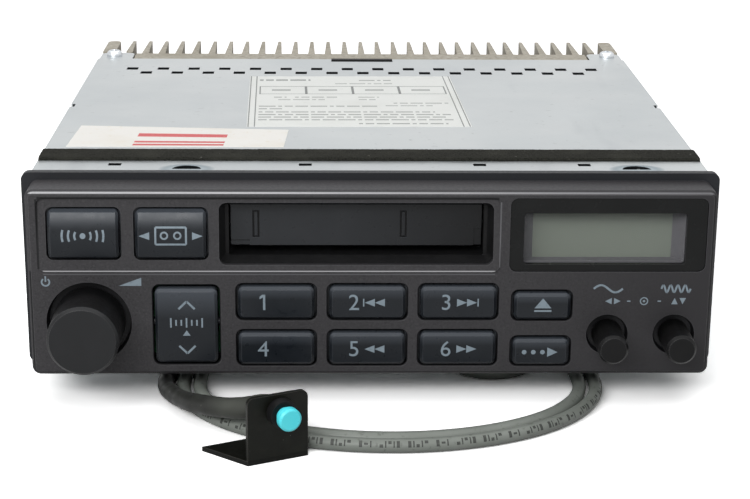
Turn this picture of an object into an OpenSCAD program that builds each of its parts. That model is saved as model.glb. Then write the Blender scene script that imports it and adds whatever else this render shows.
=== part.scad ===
// Car cassette radio with a remote push button on a cable, as separate pieces. Sizes in mm.
// X to the right, Y to the rear, Z up. Origin: centre of the dash opening, at the back of the flange.

/* [Case] */
// width of the metal case
case_w = 178; // [176:0.5:184]
// height of the metal case
case_h = 50; // [50:0.5:54]
// depth of the metal case behind the flange
case_d = 150; // [146:1:165]
// thickness of the sheet metal
sheet_t = 0.8; // [0.6:0.1:1]
// depth of the turned-down edges of the top cover
cover_lip = 8; // [4:0.5:14]
// length of a vent slot in the top cover
vent_l = 3.7; // [2:0.1:4.4]
// spacing of the vent slots
vent_pitch = 10.1; // [9.6:0.1:10.4]
// width of the foam strip along the top cover
foam_w = 10; // [4:0.5:12]
// height of the foam strip
foam_h = 1; // [0.5:0.25:4]
// radius of the threaded holes in the case sides
side_hole_r = 2.5; // [1.5:0.25:3]
// spacing of the threaded holes in the case sides
side_hole_gap = 60; // [40:1:80]

/* [Heat sink] */
// thickness of the base of the heat sink
sink_base = 10; // [2.5:0.5:14]
// length of the fins
fin_l = 22; // [15:1:32]
// spacing of the fins
fin_pitch = 5.7; // [5:0.1:5.8]
// thickness of a fin at its root
fin_root = 2.4; // [1.6:0.1:3]
// thickness of a fin at its tip
fin_tip = 1.1; // [0.8:0.1:1.5]

/* [Bezel] */
// depth of the nose block in front of the flange
nose_d = 10.3; // [10:0.1:12]
// height of the nose block
nose_h = 50.2; // [50:0.1:50.6]
// corner radius of the nose block
nose_r = 2.2; // [1.5:0.1:3]
// thickness of the flange
flange_t = 2.5; // [2:0.1:3.5]
// how far the flange stands out past the case sides
flange_over = 2; // [1:0.1:3]
// wall of the bezel
wall = 2; // [1.8:0.1:2.2]
// depth of the tilted panel's upper edge below the face
tilt_in = 0.8; // [0.4:0.1:1]
// height of the tilted panel's lower edge above the face
tilt_out = 0.5; // [0.2:0.1:0.8]

/* [Keys] */
// gap around each key
key_gap = 0.6; // [0.35:0.05:0.6]
// how far the keys stand out of the face
key_proud = 1.2; // [1.2:0.1:2]
// travel of the keys
key_travel = 1; // [0.6:0.1:1]
// bevel along the edges of a key
key_bevel = 0.7; // [0.3:0.05:0.7]
// width of a preset key's well
preset_w = 20.8; // [19:0.1:21]
// height of a preset key's well
preset_h = 9.9; // [9:0.1:10]
// width of a source key's well
source_w = 19.2; // [18:0.1:19.4]
// height of a source key's well
source_h = 14; // [12:0.1:14.4]
// width of the rocker's well
rocker_w = 17.3; // [16:0.1:17.5]
// height of the rocker's well
rocker_h = 21.8; // [20:0.1:22]
// width of the wells of the eject and scan keys
small_w = 15.8; // [14:0.1:16]
// height of the wells of the eject and scan keys
small_h = 8.3; // [7.5:0.1:8.4]

/* [Knobs] */
// diameter of the volume knob
volume_d = 18.3; // [15:0.1:19]
// how far the volume knob stands out of the face
volume_proud = 14.5; // [10:0.5:18]
// diameter of the tone knobs
tone_d = 8; // [7.4:0.1:8.6]
// how far the tone knobs stand out of the face
tone_proud = 12.3; // [8:0.1:15]
// distance by which a tone knob pulls out
tone_pull = 4; // [3:0.1:4]
// diameter of the volume shaft
volume_shaft_d = 6; // [5:0.1:6.4]
// running clearance of turning and sliding shafts
run_gap = 0.05; // [0.03:0.01:0.1]

/* [Display] */
// width of the display window
window_w = 42; // [38:0.5:44]
// height of the display window
window_h = 13.7; // [11:0.1:14]
// depth of the light shroud
shroud_d = 3.4; // [2:0.1:3.6]

/* [Cassette deck] */
// width of the cassette slot in the face
slot_w = 70.6; // [70:0.1:71]
// height of the cassette slot in the face
slot_h = 16.4; // [16:0.1:16.8]
// width left free for a cassette
throat_w = 66; // [65.6:0.1:66.4]
// width of the cassette door
door_w = 65; // [62:0.1:65]
// height of the door below its hinge
door_drop = 12.2; // [11:0.1:12.4]
// distance by which the carriage lowers a cassette
carriage_drop = 8; // [6:0.1:8]
// distance by which the head plate advances
head_travel = 8.5; // [7:0.1:8.5]
// radius of the flywheels
wheel_r = 13; // [11:0.1:13]
// radius of the motor pulley
pulley_r = 4; // [3.5:0.1:4.5]
// thickness of the belt
belt_t = 1; // [0.6:0.1:1.2]
// radius of the capstans
capstan_r = 1.2; // [1:0.05:1.4]
// radius of the pinch rollers
pinch_r = 4.5; // [4:0.1:4.5]

/* [Remote button] */
// diameter of the cable
cable_d = 3.7; // [3.6:0.1:4]
// diameter of the heat-shrink sleeve
sleeve_d = 4.6; // [4.2:0.1:4.8]
// width of the bracket
bracket_w = 16; // [14:0.5:18]
// height of the bracket
bracket_h = 17.5; // [17:0.5:24]
// depth of the bracket's foot
bracket_foot = 13.5; // [10:0.5:14]
// thickness of the bracket
bracket_t = 1.2; // [1:0.1:1.4]
// diameter of the push button's cap
cap_d = 5.9; // [5:0.1:6.2]
// length of the push button's cap outside its collar
cap_l = 3.7; // [3:0.1:7]
// travel of the push button
cap_travel = 1.5; // [1:0.1:2]

/* [Hidden] */
$fn = 64;
// planes of the case and the bezel
face_y = -flange_t - nose_d;
back_y = face_y + wall;
side_x = case_w / 2;
top_z = case_h / 2;
nose_x = side_x - 0.2;
nose_z0 = -top_z - 1.2;
nose_z1 = nose_z0 + nose_h;
flange_z1 = top_z + 1;
plate_x = side_x - 2 * sheet_t;
in_z = top_z - sheet_t;
// keys: behind the face, to the board
board_gap = 0.8;
board_y1 = -1.6;
board_y0 = board_y1 - 1.6;
switch_tip_y = board_y0 - 3.4;
key_back_y = back_y + 0.3;
key_lip_t = 1;
key_lip_x = 1;
key_lip_z = 0.7;
key_lip_r = 0.8;
key_r = 1.8;
cap_r = 1.4;
stem_r = 1.8;
stem_gap = 0.1;
curve_r = 18;
curve_drop = 2;
switch_half = 3;
switch_body = 2.8;
plunger_r = 1.5;
// cassette slot in the face, the bay of its door behind it, and the tilted panel round it
panel_r = 2;
slot_x = -4.1;
slot_z = 12.4;
door_gap = 0.5;
bay_w = max(throat_w, door_w + 2 * door_gap);
trunnion_l = 1.5;
pocket_l = trunnion_l + 0.2;
guide_wall = 2;
guide_half = max(slot_w / 2 + guide_wall, bay_w / 2 + pocket_l + 0.5);
tilt_edge = 2.9;
tilt_rim = 1.8;
tilt_x0 = -nose_x + tilt_edge;
tilt_x1 = slot_x + slot_w / 2 + tilt_rim;
tilt_z0 = 2.4;
tilt_z1 = 22;
// display mask, from the right side of the nose
mask_edge = 2.5;
mask_lap = 1.6;
mask_space = 0.7;
mask_x1 = nose_x - mask_edge;
mask_x0 = slot_x + guide_half + mask_space + mask_lap;
mask_w = mask_x1 - mask_x0;
mask_z0 = 2.4;
mask_z1 = 22;
mask_t = 1.5;
mask_in = 0.4;
mask_gap = 0.1;
mask_lap_side = 0.4;
mask_lap_top = 0.6;
mask_back_t = 1.4;
// key places: wells' centres, the outer ones from the sides of the nose
source_edge = 14.8;
source_space = 0.25;
source_z = 12.5;
band_x = -nose_x + source_edge;
tape_x = slot_x - guide_half - source_space - key_lip_x - source_w / 2 + key_gap;
rocker_x = tape_x + 3.5;
rocker_z = -12.2;
rocker_pin_y = back_y + 1.2;
rocker_pin_r = 1.2;
rocker_web_t = 1.4;
rocker_web_gap = 0.8;
rocker_web_h = 5.2;
rocker_web_d = 2.4;
rocker_play = 0.4;
rocker_hub_h = 5;
rocker_hub_d = 1.6;
rocker_stem_z = 6.5;
rocker_stem_r = 1.6;
rocker_stem_gap = 0.8;
preset_space_x = 2.85;
preset_space_z = 2.75;
preset_mid_x = slot_x + 2.9;
preset_top_z = -5.9;
preset_x = [for (i = [-1:1]) preset_mid_x + i * (preset_w + preset_space_x)];
preset_z = [preset_top_z, preset_top_z - preset_h - preset_space_z];
small_x = mask_x0 + 8.75;
small_space = 4.3;
eject_z = -6.9;
scan_z = eject_z - small_h - small_space;
// knobs, from the sides of the nose
dish_wall = 1.5;
volume_x = -nose_x + 15.4;
volume_z = -11.65;
volume_dish_r = volume_d / 2 + 1.9;
volume_dish = 3;
volume_floor_y = face_y + volume_dish;
volume_base_y = face_y + 1.5;
treble_x = nose_x - 9.7;
bass_x = treble_x - 17.5;
tone_z = -14.9;
tone_dish_r = tone_d / 2 + 1.5;
tone_dish = 2.2;
tone_floor_y = face_y + tone_dish;
tone_base_y = face_y + 1;
tone_shaft_r = 1.5;
tone_sleeve_r = 2.4;
knob_floor_t = 1.6;
knob_bevel = 0.7;
// potentiometers behind the front plate
control_y1 = 9;
shaft_y1 = 8;
neck_gap = 0.2;
volume_half = 7;
volume_neck_r = 4.6;
tone_half = 5;
tone_neck_r = 3.4;
plate_gap = 0.1;
// display
window_x = mask_x0 + 24.6;
window_z = 11.1;
lens_lap_x = 1.5;
lens_lap_z = 1;
lens_gap = 0.2;
shroud_slope = 2.8;
shroud_lip = 0.2;
lcd_lap = 0.6;
lens_t = 0.8;
lens_y = face_y + mask_in + mask_t;
shroud_y = lens_y + lens_t + 0.05;
lcd_y = shroud_y + shroud_d + 0.05;
lcd_t = 1.6;
// cassette throat, door and deck
throat_z0 = 5.6;
guide_y1 = -0.2;
guide_floor = 2.6;
door_t = 1.8;
door_mark_x = [-26, 12.2];
hinge_y = face_y + 6.5;
hinge_z = 20;
hinge_r = 1.5;
trunnion_r = 1;
deck_z = throat_z0 - sheet_t - carriage_drop - 1.4;
deck_t = 1;
tray_w = throat_w - 0.8;
tray_y0 = 8;
tray_y1 = 104;
tray_roof = 18.6;
post_r = 1.5;
left_post_x = slot_x - tray_w / 2 - 3.8;
right_post_x = slot_x + tray_w / 2 + 3.8;
left_post_y = [20, 92];
right_post_y = [14, 96];
capstan_x = 18.3;
capstan_y = [25.7, 78.7];
wheel_z0 = deck_z - deck_t - 7;
wheel_h = 6;
reel_x = -6.2;
reel_y = [30.95, 73.45];
spindle_top = 4;
belt_gap = 0.3;
belt_z0 = deck_z - 6.4;
belt_h = 2.4;
pinch_gap = 0.3;
pinch_x = capstan_x + capstan_r + pinch_gap + pinch_r + head_travel;
guide_pin_x = pinch_x + 5.4;
guide_pin_y = [38, 66];
deck_x0 = slot_x - 41.9;
deck_x1 = slot_x + 58.1;
deck_y0 = 4;
deck_y1 = 110;
leg_xy = [for (x = [deck_x0 + 4, deck_x1 - 8], y = [deck_y0 + 8, deck_y1 - 6]) [x, y]];
leg_r = 3;
leg_gap = 0.5;
pin_r = 1.2;
pin_gap = 0.3;
head_t = 1;
head_lift = 0.3;
head_margin = 4.7;
head_y = (capstan_y[0] + capstan_y[1]) / 2;
head_z0 = 0.4;
head_z1 = 7.6;
head_w = 12;
head_r = 3.6;
head_foot_w = 6;
pinch_z1 = 5.4;
reel_axle_r = 1.5;
reel_r = 3.6;
reel_flange_r = 9;
reel_flange_t = 1.4;
// the belt's straight run touches the front flywheel from outside, so that wheel turns the other way
belt_a = asin((2 * wheel_r + 2 * belt_gap + belt_t) / (capstan_y[1] - capstan_y[0]));
belt_dir = [-sin(belt_a), -cos(belt_a)];
belt_n = [-cos(belt_a), sin(belt_a)];
belt_on = [capstan_x, capstan_y[1]] - (wheel_r + belt_gap + belt_t) * belt_n;
motor_xy = belt_on + 66 * belt_dir + (pulley_r + belt_gap + belt_t) * belt_n;
motor_r = 12;
motor_gap = 1;
motor_lift = 0.6;
motor_post_r = 1.6;
motor_post_at = 9;
motor_top = deck_z - 7.6;
board_z0 = -in_z + 3.6;
board_t = 1.6;
board_side = 3;
board_y = [control_y1 + 3, case_d - 8];
standoff_r = 3;
standoff_xy = [for (x = [-plate_x + 9.4, plate_x - 9.4], y = [30, case_d - 20]) [x, y]];
tuner_at = [plate_x - 33.4, 40];
tuner_size = [28, 50, 13];
can_x = -plate_x + 21.4;
can_y = [60, 78, 96];
can_r = 6;
can_h = 16;
amp_x = 30;
amp_size = [22, 5, 14];
amp_z = -4;
// rear sockets
socket_x = -45;
socket_z = -15;
socket_w = 40;
socket_h = 14;
socket_l = 10;
socket_wall = 2;
socket_in = 4;
panel_gap = 0.2;
aerial_x = 55;
aerial_bore_r = 3.9;
aerial_r = 5.2;
aerial_flange_r = 6.5;
aerial_in_r = 4;
aerial_l = 12;
outlet_x = 5;
outlet_z = -14;
outlet_y = case_d + 4.2;
outlet_r = 3.5;
grommet_r = 3.4;
grommet_flange_r = 5.2;
rear_flange_t = 2;
// heat sink and its screws
sink_z0 = -6;
fin_top = 0.6;
fins = floor((plate_x - 7) / fin_pitch);
ear_w = 4.4;
ear_in = 2.3;
ear_r = 2;
tab_w = 11;
tab_l = 12;
tab_r = 2.5;
screw_x = side_x - 5;
screw_y = case_d + 5;
screw_r = 1.25;
screw_l = 8;
screw_head_r = 2.6;
screw_head_h = 2;
// cover
foam_y = 13.4;
foam_edge = 0.2;
vent_y = [case_d - 16.1, case_d - 22.4];
vent_w = 4;
slit_x = [-68, -17.5, 29, 57];
slit_y = 9.8;
slit_l = 3.4;
slit_w = 2.8;
moon_x = [-48.7, 70.4];
moon_y = 5;
moon_r = 3.8;
notch_y = 79.5;
notch_l = 4;
notch_d = 1.4;
rear_notch_w = 20.6;
rear_notch_d = 4.5;
side_hole_y = 40;
// ground, bracket and switch
ground_z = nose_z0 - 8.6;
cable_r = cable_d / 2;
sleeve_r = sleeve_d / 2;
lie = 0.8 * cable_r;
bracket_at = [-30.9, -52, ground_z];
bracket_turn = 24.6;
foot_out = 6.8;
foot_cut = 10.5;
switch_x = bracket_w / 2 + 0.6;
switch_h = 13;
switch_r = 2.9;
switch_l = 3.5;
collar_r = 3.6;
collar_l = 3;
// loops of the cable: an oval spiral that shrinks by one pitch in each turn
loop_x = 4.2;
loop_y = -1.5;
loop_a = 58.7;
loop_front = 45.5;
loop_rear = 105;
loop_pitch = cable_d + 0.7;
loop_t0 = 175;
loop_t1 = -675;
loop_rings = 85;
function loop_point(t) = let (s = loop_pitch * (loop_t0 - t) / 360)
    [loop_x + (loop_a - s) * cos(t),
     loop_y + ((sin(t) < 0 ? loop_front : loop_rear) - s) * sin(t),
     ground_z + lie];
loop_path = [for (i = [0:loop_rings]) loop_point(loop_t0 + (loop_t1 - loop_t0) * i / loop_rings)];
// tail of the cable: from the inner turn, over the outer turns, to the outlet at the rear
tail_xyh = [
    [41.8, 57.1, 0], [42.6, 48, 0], [43.1, 36, 0], [44.3, 25.6, 0], [45, 14.9, 0], [40.9, 8.5, 0],
    [33.5, 6.1, 0], [27.1, 8.5, 0], [22.7, 15.7, 0], [22, 25, 0], [18.6, 36, 0], [14, 50, 0],
    [8.6, 64, 0.4], [2.6, 76.5, 2.6], [-3, 86, 4.6], [-6.6, 94, 5],
    [-9, 102, 5], [-11, 111, 3], [-13, 121, 0.6], [-16, 133, 0], [-20, 146, 0], [-24, 158, 0.2],
    [-25, 167, 1.6], [-21, 175, 5], [-13, 179, 9.5], [-4, 176.1, 14], [2.2, 170.4, 17.5], [4.9, 163, 19]];
tail_end = [[outlet_x, outlet_y + cable_d, outlet_z], [outlet_x, outlet_y, outlet_z]];
loop_out = loop_path[loop_rings] - loop_path[loop_rings - 1];
tail_path = concat([loop_path[loop_rings], loop_path[loop_rings] + cable_d * loop_out / norm(loop_out)],
    [for (p = tail_xyh) [p[0], p[1], ground_z + lie + p[2]]], tail_end);
// sleeve: from the foot of the switch's back to the start of the loops
sleeve_low = switch_r - sleeve_r;
switch_dir = [-sin(bracket_turn), cos(bracket_turn), 0];
switch_end = bracket_at + [switch_x * cos(bracket_turn), switch_x * sin(bracket_turn), switch_h - sleeve_low]
    + (bracket_t + switch_l) * switch_dir;
sleeve_xyh = [[-29.6, -37.2, 9.8], [-33.6, -35, 8.4], [-38.2, -32.6, 7.6], [-42.9, -29, 6.8],
    [-47.4, -23.2, 5.4], [-51.2, -15.6, 3.9], [-53.9, -8, 2.8], [-54.9, -1.7, 2.4]];
loop_in = loop_path[1] - loop_path[0];
sleeve_path = concat([switch_end, switch_end + 0.96 * sleeve_d * switch_dir - [0, 0, sleeve_d / 4]],
    [for (p = sleeve_xyh) [p[0], p[1], ground_z + p[2]]],
    [loop_path[0] - sleeve_d * loop_in / norm(loop_in), loop_path[0]]);
// least gap between strands, taken on points more than half a turn apart
cable_points = concat(loop_path, [for (i = [1:len(tail_path) - 1]) tail_path[i]]);
strand_gap = min([for (i = [0:len(cable_points) - 1], j = [i + 8:1:len(cable_points) - 1])
    norm(cable_points[i] - cable_points[j])]) - cable_d;
echo(strand_gap = strand_gap);

// Shared shapes
// box between two corners
module span(x, y, z) {
    translate([x[0], y[0], z[0]])
        cube([x[1] - x[0], y[1] - y[0], z[1] - z[0]]);
}

// flat rectangle with round corners
module rounded(w, h, r) {
    square([w - 2 * r, h], center = true);
    square([w, h - 2 * r], center = true);
    for (x = [-1, 1], y = [-1, 1])
        translate([x * (w / 2 - r), y * (h / 2 - r)])
            circle(r);
}

// upright slab with round corners, seen from the front
module slab(x, z, w, h, y0, y1, r) {
    translate([x, y1, z])
        rotate([90, 0, 0])
            linear_extrude(y1 - y0)
                rounded(w, h, r);
}

// slab whose outline grows by d0 at y0 and by d1 at y1
module flare(x, z, w, h, r, y0, y1, d0, d1) {
    translate([x, 0, z]) {
        rotate([90, 0, 90])
            linear_extrude(w - 2 * r, center = true)
                polygon([[y0, -h / 2 - d0], [y1, -h / 2 - d1], [y1, h / 2 + d1], [y0, h / 2 + d0]]);
        linear_extrude(h - 2 * r, center = true)
            polygon([[-w / 2 - d0, y0], [w / 2 + d0, y0], [w / 2 + d1, y1], [-w / 2 - d1, y1]]);
        for (sx = [-1, 1], sz = [-1, 1])
            translate([sx * (w / 2 - r), y0, sz * (h / 2 - r)])
                rotate([-90, 0, 0])
                    cylinder(h = y1 - y0, r1 = r + d0, r2 = r + d1);
    }
}

// round bar along Y
module bar_y(x, z, r, y0, y1) {
    translate([x, y0, z])
        rotate([-90, 0, 0])
            cylinder(h = y1 - y0, r = r);
}

// round bar along Z
module bar_z(p, r, z0, z1) {
    translate([p[0], p[1], z0])
        cylinder(h = z1 - z0, r = r);
}

// round bar along X
module bar_x(y, z, r, x0, x1) {
    translate([x0, y, z])
        rotate([0, 90, 0])
            cylinder(h = x1 - x0, r = r);
}

// smooth points along a path, n to each step
function spline(a, b, c, d, u) = 0.5 * (2 * b + (c - a) * u + (2 * a - 5 * b + 4 * c - d) * u * u
    + (3 * b - a - 3 * c + d) * u * u * u);
function smooth(p, n) = let (m = len(p) - 1)
    concat([for (i = [0:m - 1], k = [0:n - 1])
        spline(p[max(i - 1, 0)], p[i], p[i + 1], p[min(i + 2, m)], k / n)], [p[m]]);

// ring of a tube: level across the path, cut flat at the ground
function ring(p, d, r, n) = let (t = d / norm(d), s = cross([0, 0, 1], t), a = s / norm(s), b = cross(t, a))
    [for (k = [0:n - 1]) let (q = p + r * (cos(360 * k / n) * a + sin(360 * k / n) * b))
        [q[0], q[1], max(q[2], ground_z)]];

// one closed tube along points
module tube(p, r, n) {
    m = len(p) - 1;
    pts = [for (i = [0:m]) each ring(p[i], p[min(i + 1, m)] - p[max(i - 1, 0)], r, n)];
    faces = concat([[for (k = [0:n - 1]) k]],
        [for (i = [0:m - 1], k = [0:n - 1])
            [i * n + k, (i + 1) * n + k, (i + 1) * n + (k + 1) % n, i * n + (k + 1) % n]],
        [[for (k = [n - 1:-1:0]) m * n + k]]);
    polyhedron(points = pts, faces = faces, convexity = 10);
}

// Front
// opening for a key with bevelled edges
module well(x, z, w, h) {
    slab(x, z, w, h, face_y - 2, back_y + 1, key_r);
    flare(x, z, w, h, key_r, face_y - 0.3, face_y + 0.3, 0.6, 0);
}

// round dish with a hole for a shaft
module dish(x, z, r, depth, hole) {
    translate([x, face_y - 0.01, z])
        rotate([-90, 0, 0])
            cylinder(h = depth + 0.01, r1 = r, r2 = r - 0.5);
    bar_y(x, z, hole, face_y, 0);
}

module bezel_body() {
    slab(0, (nose_z0 + flange_z1) / 2, 2 * (side_x + flange_over), flange_z1 - nose_z0,
        -flange_t, 0, panel_r);
    slab(0, (nose_z0 + nose_z1) / 2, 2 * nose_x, nose_h, face_y + 1.2, -flange_t, nose_r);
    flare(0, (nose_z0 + nose_z1) / 2, 2 * nose_x, nose_h, nose_r, face_y + 0.6, face_y + 1.2, -0.6, 0);
    flare(0, (nose_z0 + nose_z1) / 2, 2 * nose_x, nose_h, nose_r, face_y, face_y + 0.6, -1.1, -0.8);
}

module tilted_panel() {
    intersection() {
        slab((tilt_x0 + tilt_x1) / 2, (tilt_z0 + tilt_z1) / 2, tilt_x1 - tilt_x0, tilt_z1 - tilt_z0,
            face_y - 1, back_y, panel_r);
        translate([(tilt_x0 + tilt_x1) / 2, 0, 0])
            rotate([90, 0, 90])
                linear_extrude(tilt_x1 - tilt_x0 + 2, center = true)
                    polygon([[face_y + tilt_in, tilt_z1], [face_y - tilt_out, tilt_z0],
                        [back_y, tilt_z0], [back_y, tilt_z1]]);
    }
}

module front_bezel() {
    color([0.27, 0.27, 0.28])
    difference() {
        union() {
            difference() {
                bezel_body();
                slab(0, (nose_z0 + nose_z1) / 2, 2 * (nose_x - wall), nose_h - 2 * wall, back_y, 1, 1);
                slab((tilt_x0 + tilt_x1) / 2, (tilt_z0 + tilt_z1) / 2, tilt_x1 - tilt_x0,
                    tilt_z1 - tilt_z0, face_y - 1, back_y + 0.5, panel_r);
            }
            tilted_panel();
            bar_y(volume_x, volume_z, volume_dish_r + dish_wall, face_y + wall / 2,
                volume_floor_y + knob_floor_t);
            for (x = [bass_x, treble_x])
                bar_y(x, tone_z, tone_dish_r + dish_wall, face_y + wall / 2, tone_floor_y + knob_floor_t);
            span([mask_x0 - mask_lap, mask_x1 + mask_lap_side], [back_y - 0.2, back_y + mask_back_t],
                [mask_z0 - mask_lap, mask_z1 + mask_lap_top]);
            for (s = [-1, 1])
                translate([rocker_x + s * (rocker_w / 2 + rocker_web_gap + rocker_web_t / 2), 0, rocker_z])
                    span([-rocker_web_t / 2, rocker_web_t / 2], [back_y - 0.2, rocker_pin_y + rocker_web_d],
                        [-rocker_web_h / 2, rocker_web_h / 2]);
        }
        for (x = [band_x, tape_x])
            slab(x, source_z, source_w, source_h, face_y - 2, back_y + 1, key_r);
        slab(slot_x, slot_z, slot_w, slot_h, face_y - 2, back_y + 1, panel_r);
        well(rocker_x, rocker_z, rocker_w, rocker_h);
        for (x = preset_x, z = preset_z)
            well(x, z, preset_w, preset_h);
        well(small_x, eject_z, small_w, small_h);
        well(small_x, scan_z, small_w, small_h);
        dish(volume_x, volume_z, volume_dish_r, volume_dish, volume_shaft_d / 2 + 0.6);
        for (x = [bass_x, treble_x])
            dish(x, tone_z, tone_dish_r, tone_dish, tone_sleeve_r + 0.4);
        slab((mask_x0 + mask_x1) / 2, (mask_z0 + mask_z1) / 2, mask_w + 2 * mask_gap,
            mask_z1 - mask_z0 + 2 * mask_gap, face_y - 1, lens_y, panel_r);
        window_span(lens_lap_x + lens_gap, lens_lap_z + lens_gap, face_y, 0);
        bar_x(rocker_pin_y, rocker_z, rocker_pin_r + run_gap,
            rocker_x - rocker_w / 2 - 3, rocker_x + rocker_w / 2 + 3);
    }
}

// box round the display window
module window_span(lap_x, lap_z, y0, y1) {
    span([window_x - window_w / 2 - lap_x, window_x + window_w / 2 + lap_x], [y0, y1],
        [window_z - window_h / 2 - lap_z, window_z + window_h / 2 + lap_z]);
}

module display_mask() {
    color([0.1, 0.1, 0.1])
    difference() {
        slab((mask_x0 + mask_x1) / 2, (mask_z0 + mask_z1) / 2, mask_x1 - mask_x0, mask_z1 - mask_z0,
            face_y + mask_in, lens_y, panel_r - mask_gap);
        slab(window_x, window_z, window_w, window_h, face_y - 1, lens_y + 1, 0.8);
    }
}

module display_lens() {
    color([0.75, 0.8, 0.8])
    window_span(lens_lap_x, lens_lap_z, lens_y, lens_y + lens_t);
}

module display_shroud() {
    color([0.38, 0.38, 0.4])
    difference() {
        window_span(lens_lap_x, lens_lap_z, shroud_y, shroud_y + shroud_d);
        translate([window_x, shroud_y, window_z - window_h / 2 + shroud_lip])
            linear_extrude(window_h - 2 * shroud_lip)
                polygon([[-window_w / 2, -1], [window_w / 2, -1], [window_w / 2, 0],
                    [window_w / 2 - shroud_slope, shroud_d], [window_w / 2 - shroud_slope, shroud_d + 1],
                    [shroud_slope - window_w / 2, shroud_d + 1], [shroud_slope - window_w / 2, shroud_d],
                    [-window_w / 2, 0]]);
    }
}

module lcd_panel() {
    color([0.46, 0.5, 0.44])
    window_span(0, lcd_lap, lcd_y, lcd_y + lcd_t);
}

// cap of a key with its lip behind the wall and its stem towards the board
module key(x, z, w, h) {
    cw = w - 2 * key_gap;
    ch = h - 2 * key_gap;
    front = face_y - key_proud;
    flare(x, z, cw, ch, cap_r, front, front + key_bevel, -key_bevel, 0);
    slab(x, z, cw, ch, front + key_bevel, key_back_y, cap_r);
    slab(x, z, cw + 2 * key_lip_x, ch + 2 * key_lip_z, key_back_y, key_back_y + key_lip_t, key_lip_r);
    bar_y(x, z, stem_r, key_back_y + key_lip_t, switch_tip_y - key_travel - stem_gap);
}

// key with a front that curves back towards its upper and lower edges, and bevels round it
function curve_y(front, dz) = front + curve_r - sqrt(pow(curve_r, 2) - pow(dz + curve_drop, 2));
module curved_key(x, z, w, h) {
    cw = w - 2 * key_gap;
    ch = h - 2 * key_gap;
    front = face_y - key_proud - tilt_out;
    intersection() {
        slab(x, z, cw, ch, front, key_back_y, cap_r);
        translate([x, front + curve_r, z - curve_drop])
            rotate([0, 90, 0])
                rotate_extrude($fn = 192)
                    polygon([[0, -cw / 2], [curve_r - key_bevel, -cw / 2], [curve_r, key_bevel - cw / 2],
                        [curve_r, cw / 2 - key_bevel], [curve_r - key_bevel, cw / 2], [0, cw / 2]]);
        translate([x, 0, z])
            rotate([90, 0, 90])
                linear_extrude(w, center = true)
                    polygon([[key_back_y, -ch / 2], [curve_y(front, -ch / 2) + key_bevel, -ch / 2],
                        [curve_y(front, key_bevel - ch / 2), key_bevel - ch / 2],
                        [front - 1, key_bevel - ch / 2], [front - 1, ch / 2 - key_bevel],
                        [curve_y(front, ch / 2 - key_bevel), ch / 2 - key_bevel],
                        [curve_y(front, ch / 2) + key_bevel, ch / 2], [key_back_y, ch / 2]]);
    }
    slab(x, z, cw + 2 * key_lip_x, ch + 2 * key_lip_z, key_back_y, key_back_y + key_lip_t, key_lip_r);
    bar_y(x, z, stem_r, key_back_y + key_lip_t, switch_tip_y - key_travel - stem_gap);
}

module band_button() {
    color([0.2, 0.21, 0.23])
    curved_key(band_x, source_z, source_w, source_h);
}

module tape_button() {
    color([0.2, 0.21, 0.23])
    curved_key(tape_x, source_z, source_w, source_h);
}

module preset(i) {
    color([0.2, 0.21, 0.23])
    key(preset_x[i % 3], preset_z[floor(i / 3)], preset_w, preset_h);
}

module eject_button() {
    color([0.2, 0.21, 0.23])
    key(small_x, eject_z, small_w, small_h);
}

module scan_button() {
    color([0.2, 0.21, 0.23])
    key(small_x, scan_z, small_w, small_h);
}

module tune_rocker() {
    cw = rocker_w - 2 * key_gap;
    ch = rocker_h - 2 * key_gap - rocker_play;
    front = face_y - key_proud;
    color([0.2, 0.21, 0.23])
    union() {
        flare(rocker_x, rocker_z, cw, ch, cap_r, front, front + key_bevel, -key_bevel, 0);
        slab(rocker_x, rocker_z, cw, ch, front + key_bevel, back_y + rocker_play, cap_r);
        slab(rocker_x, rocker_z, cw, rocker_hub_h, back_y, rocker_pin_y + rocker_hub_d, rocker_hub_h / 8);
        translate([rocker_x, 0, 0])
            bar_x(rocker_pin_y, rocker_z, rocker_pin_r, -rocker_w / 2 - rocker_web_gap - rocker_web_t + 0.2,
                rocker_w / 2 + rocker_web_gap + rocker_web_t - 0.2);
        for (s = [-1, 1])
            bar_y(rocker_x, rocker_z + rocker_stem_z * s, rocker_stem_r, back_y,
                switch_tip_y - rocker_stem_gap);
    }
}

module front_circuit_board() {
    color([0.1, 0.32, 0.2])
    difference() {
        span([-nose_x + wall + board_gap, nose_x - wall - board_gap], [board_y0, board_y1],
            [nose_z0 + wall + board_gap, nose_z1 - wall - board_gap]);
        span([slot_x - guide_half - board_gap, slot_x + guide_half + board_gap],
            [board_y0 - 1, board_y1 + 1], [throat_z0 - guide_floor - board_gap, nose_z1]);
        bar_y(volume_x, volume_z, volume_neck_r + board_gap, board_y0 - 1, board_y1 + 1);
        for (x = [bass_x, treble_x])
            bar_y(x, tone_z, tone_neck_r + board_gap, board_y0 - 1, board_y1 + 1);
    }
}

module key_switch(x, z) {
    span([x - switch_half, x + switch_half], [board_y0 - switch_body, board_y0],
        [z - switch_half, z + switch_half]);
    bar_y(x, z, plunger_r, switch_tip_y, board_y0 - switch_body);
}

module key_switches() {
    color([0.15, 0.15, 0.16])
    union() {
        for (x = [band_x, tape_x])
            key_switch(x, source_z);
        for (x = preset_x, z = preset_z)
            key_switch(x, z);
        for (z = [eject_z, scan_z])
            key_switch(small_x, z);
        for (s = [-1, 1])
            key_switch(rocker_x, rocker_z + rocker_stem_z * s);
    }
}

// Knobs
module volume_knob() {
    r = volume_d / 2;
    h = volume_proud + 1.5;
    color([0.17, 0.17, 0.18])
    translate([volume_x, volume_base_y, volume_z])
        rotate([90, 0, 0])
            rotate_extrude()
                polygon([[volume_shaft_d / 2, 0], [r + 0.1, 0], [r, h - knob_bevel],
                    [r - knob_bevel, h], [0, h], [0, h - 3], [volume_shaft_d / 2, h - 3]]);
}

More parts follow.
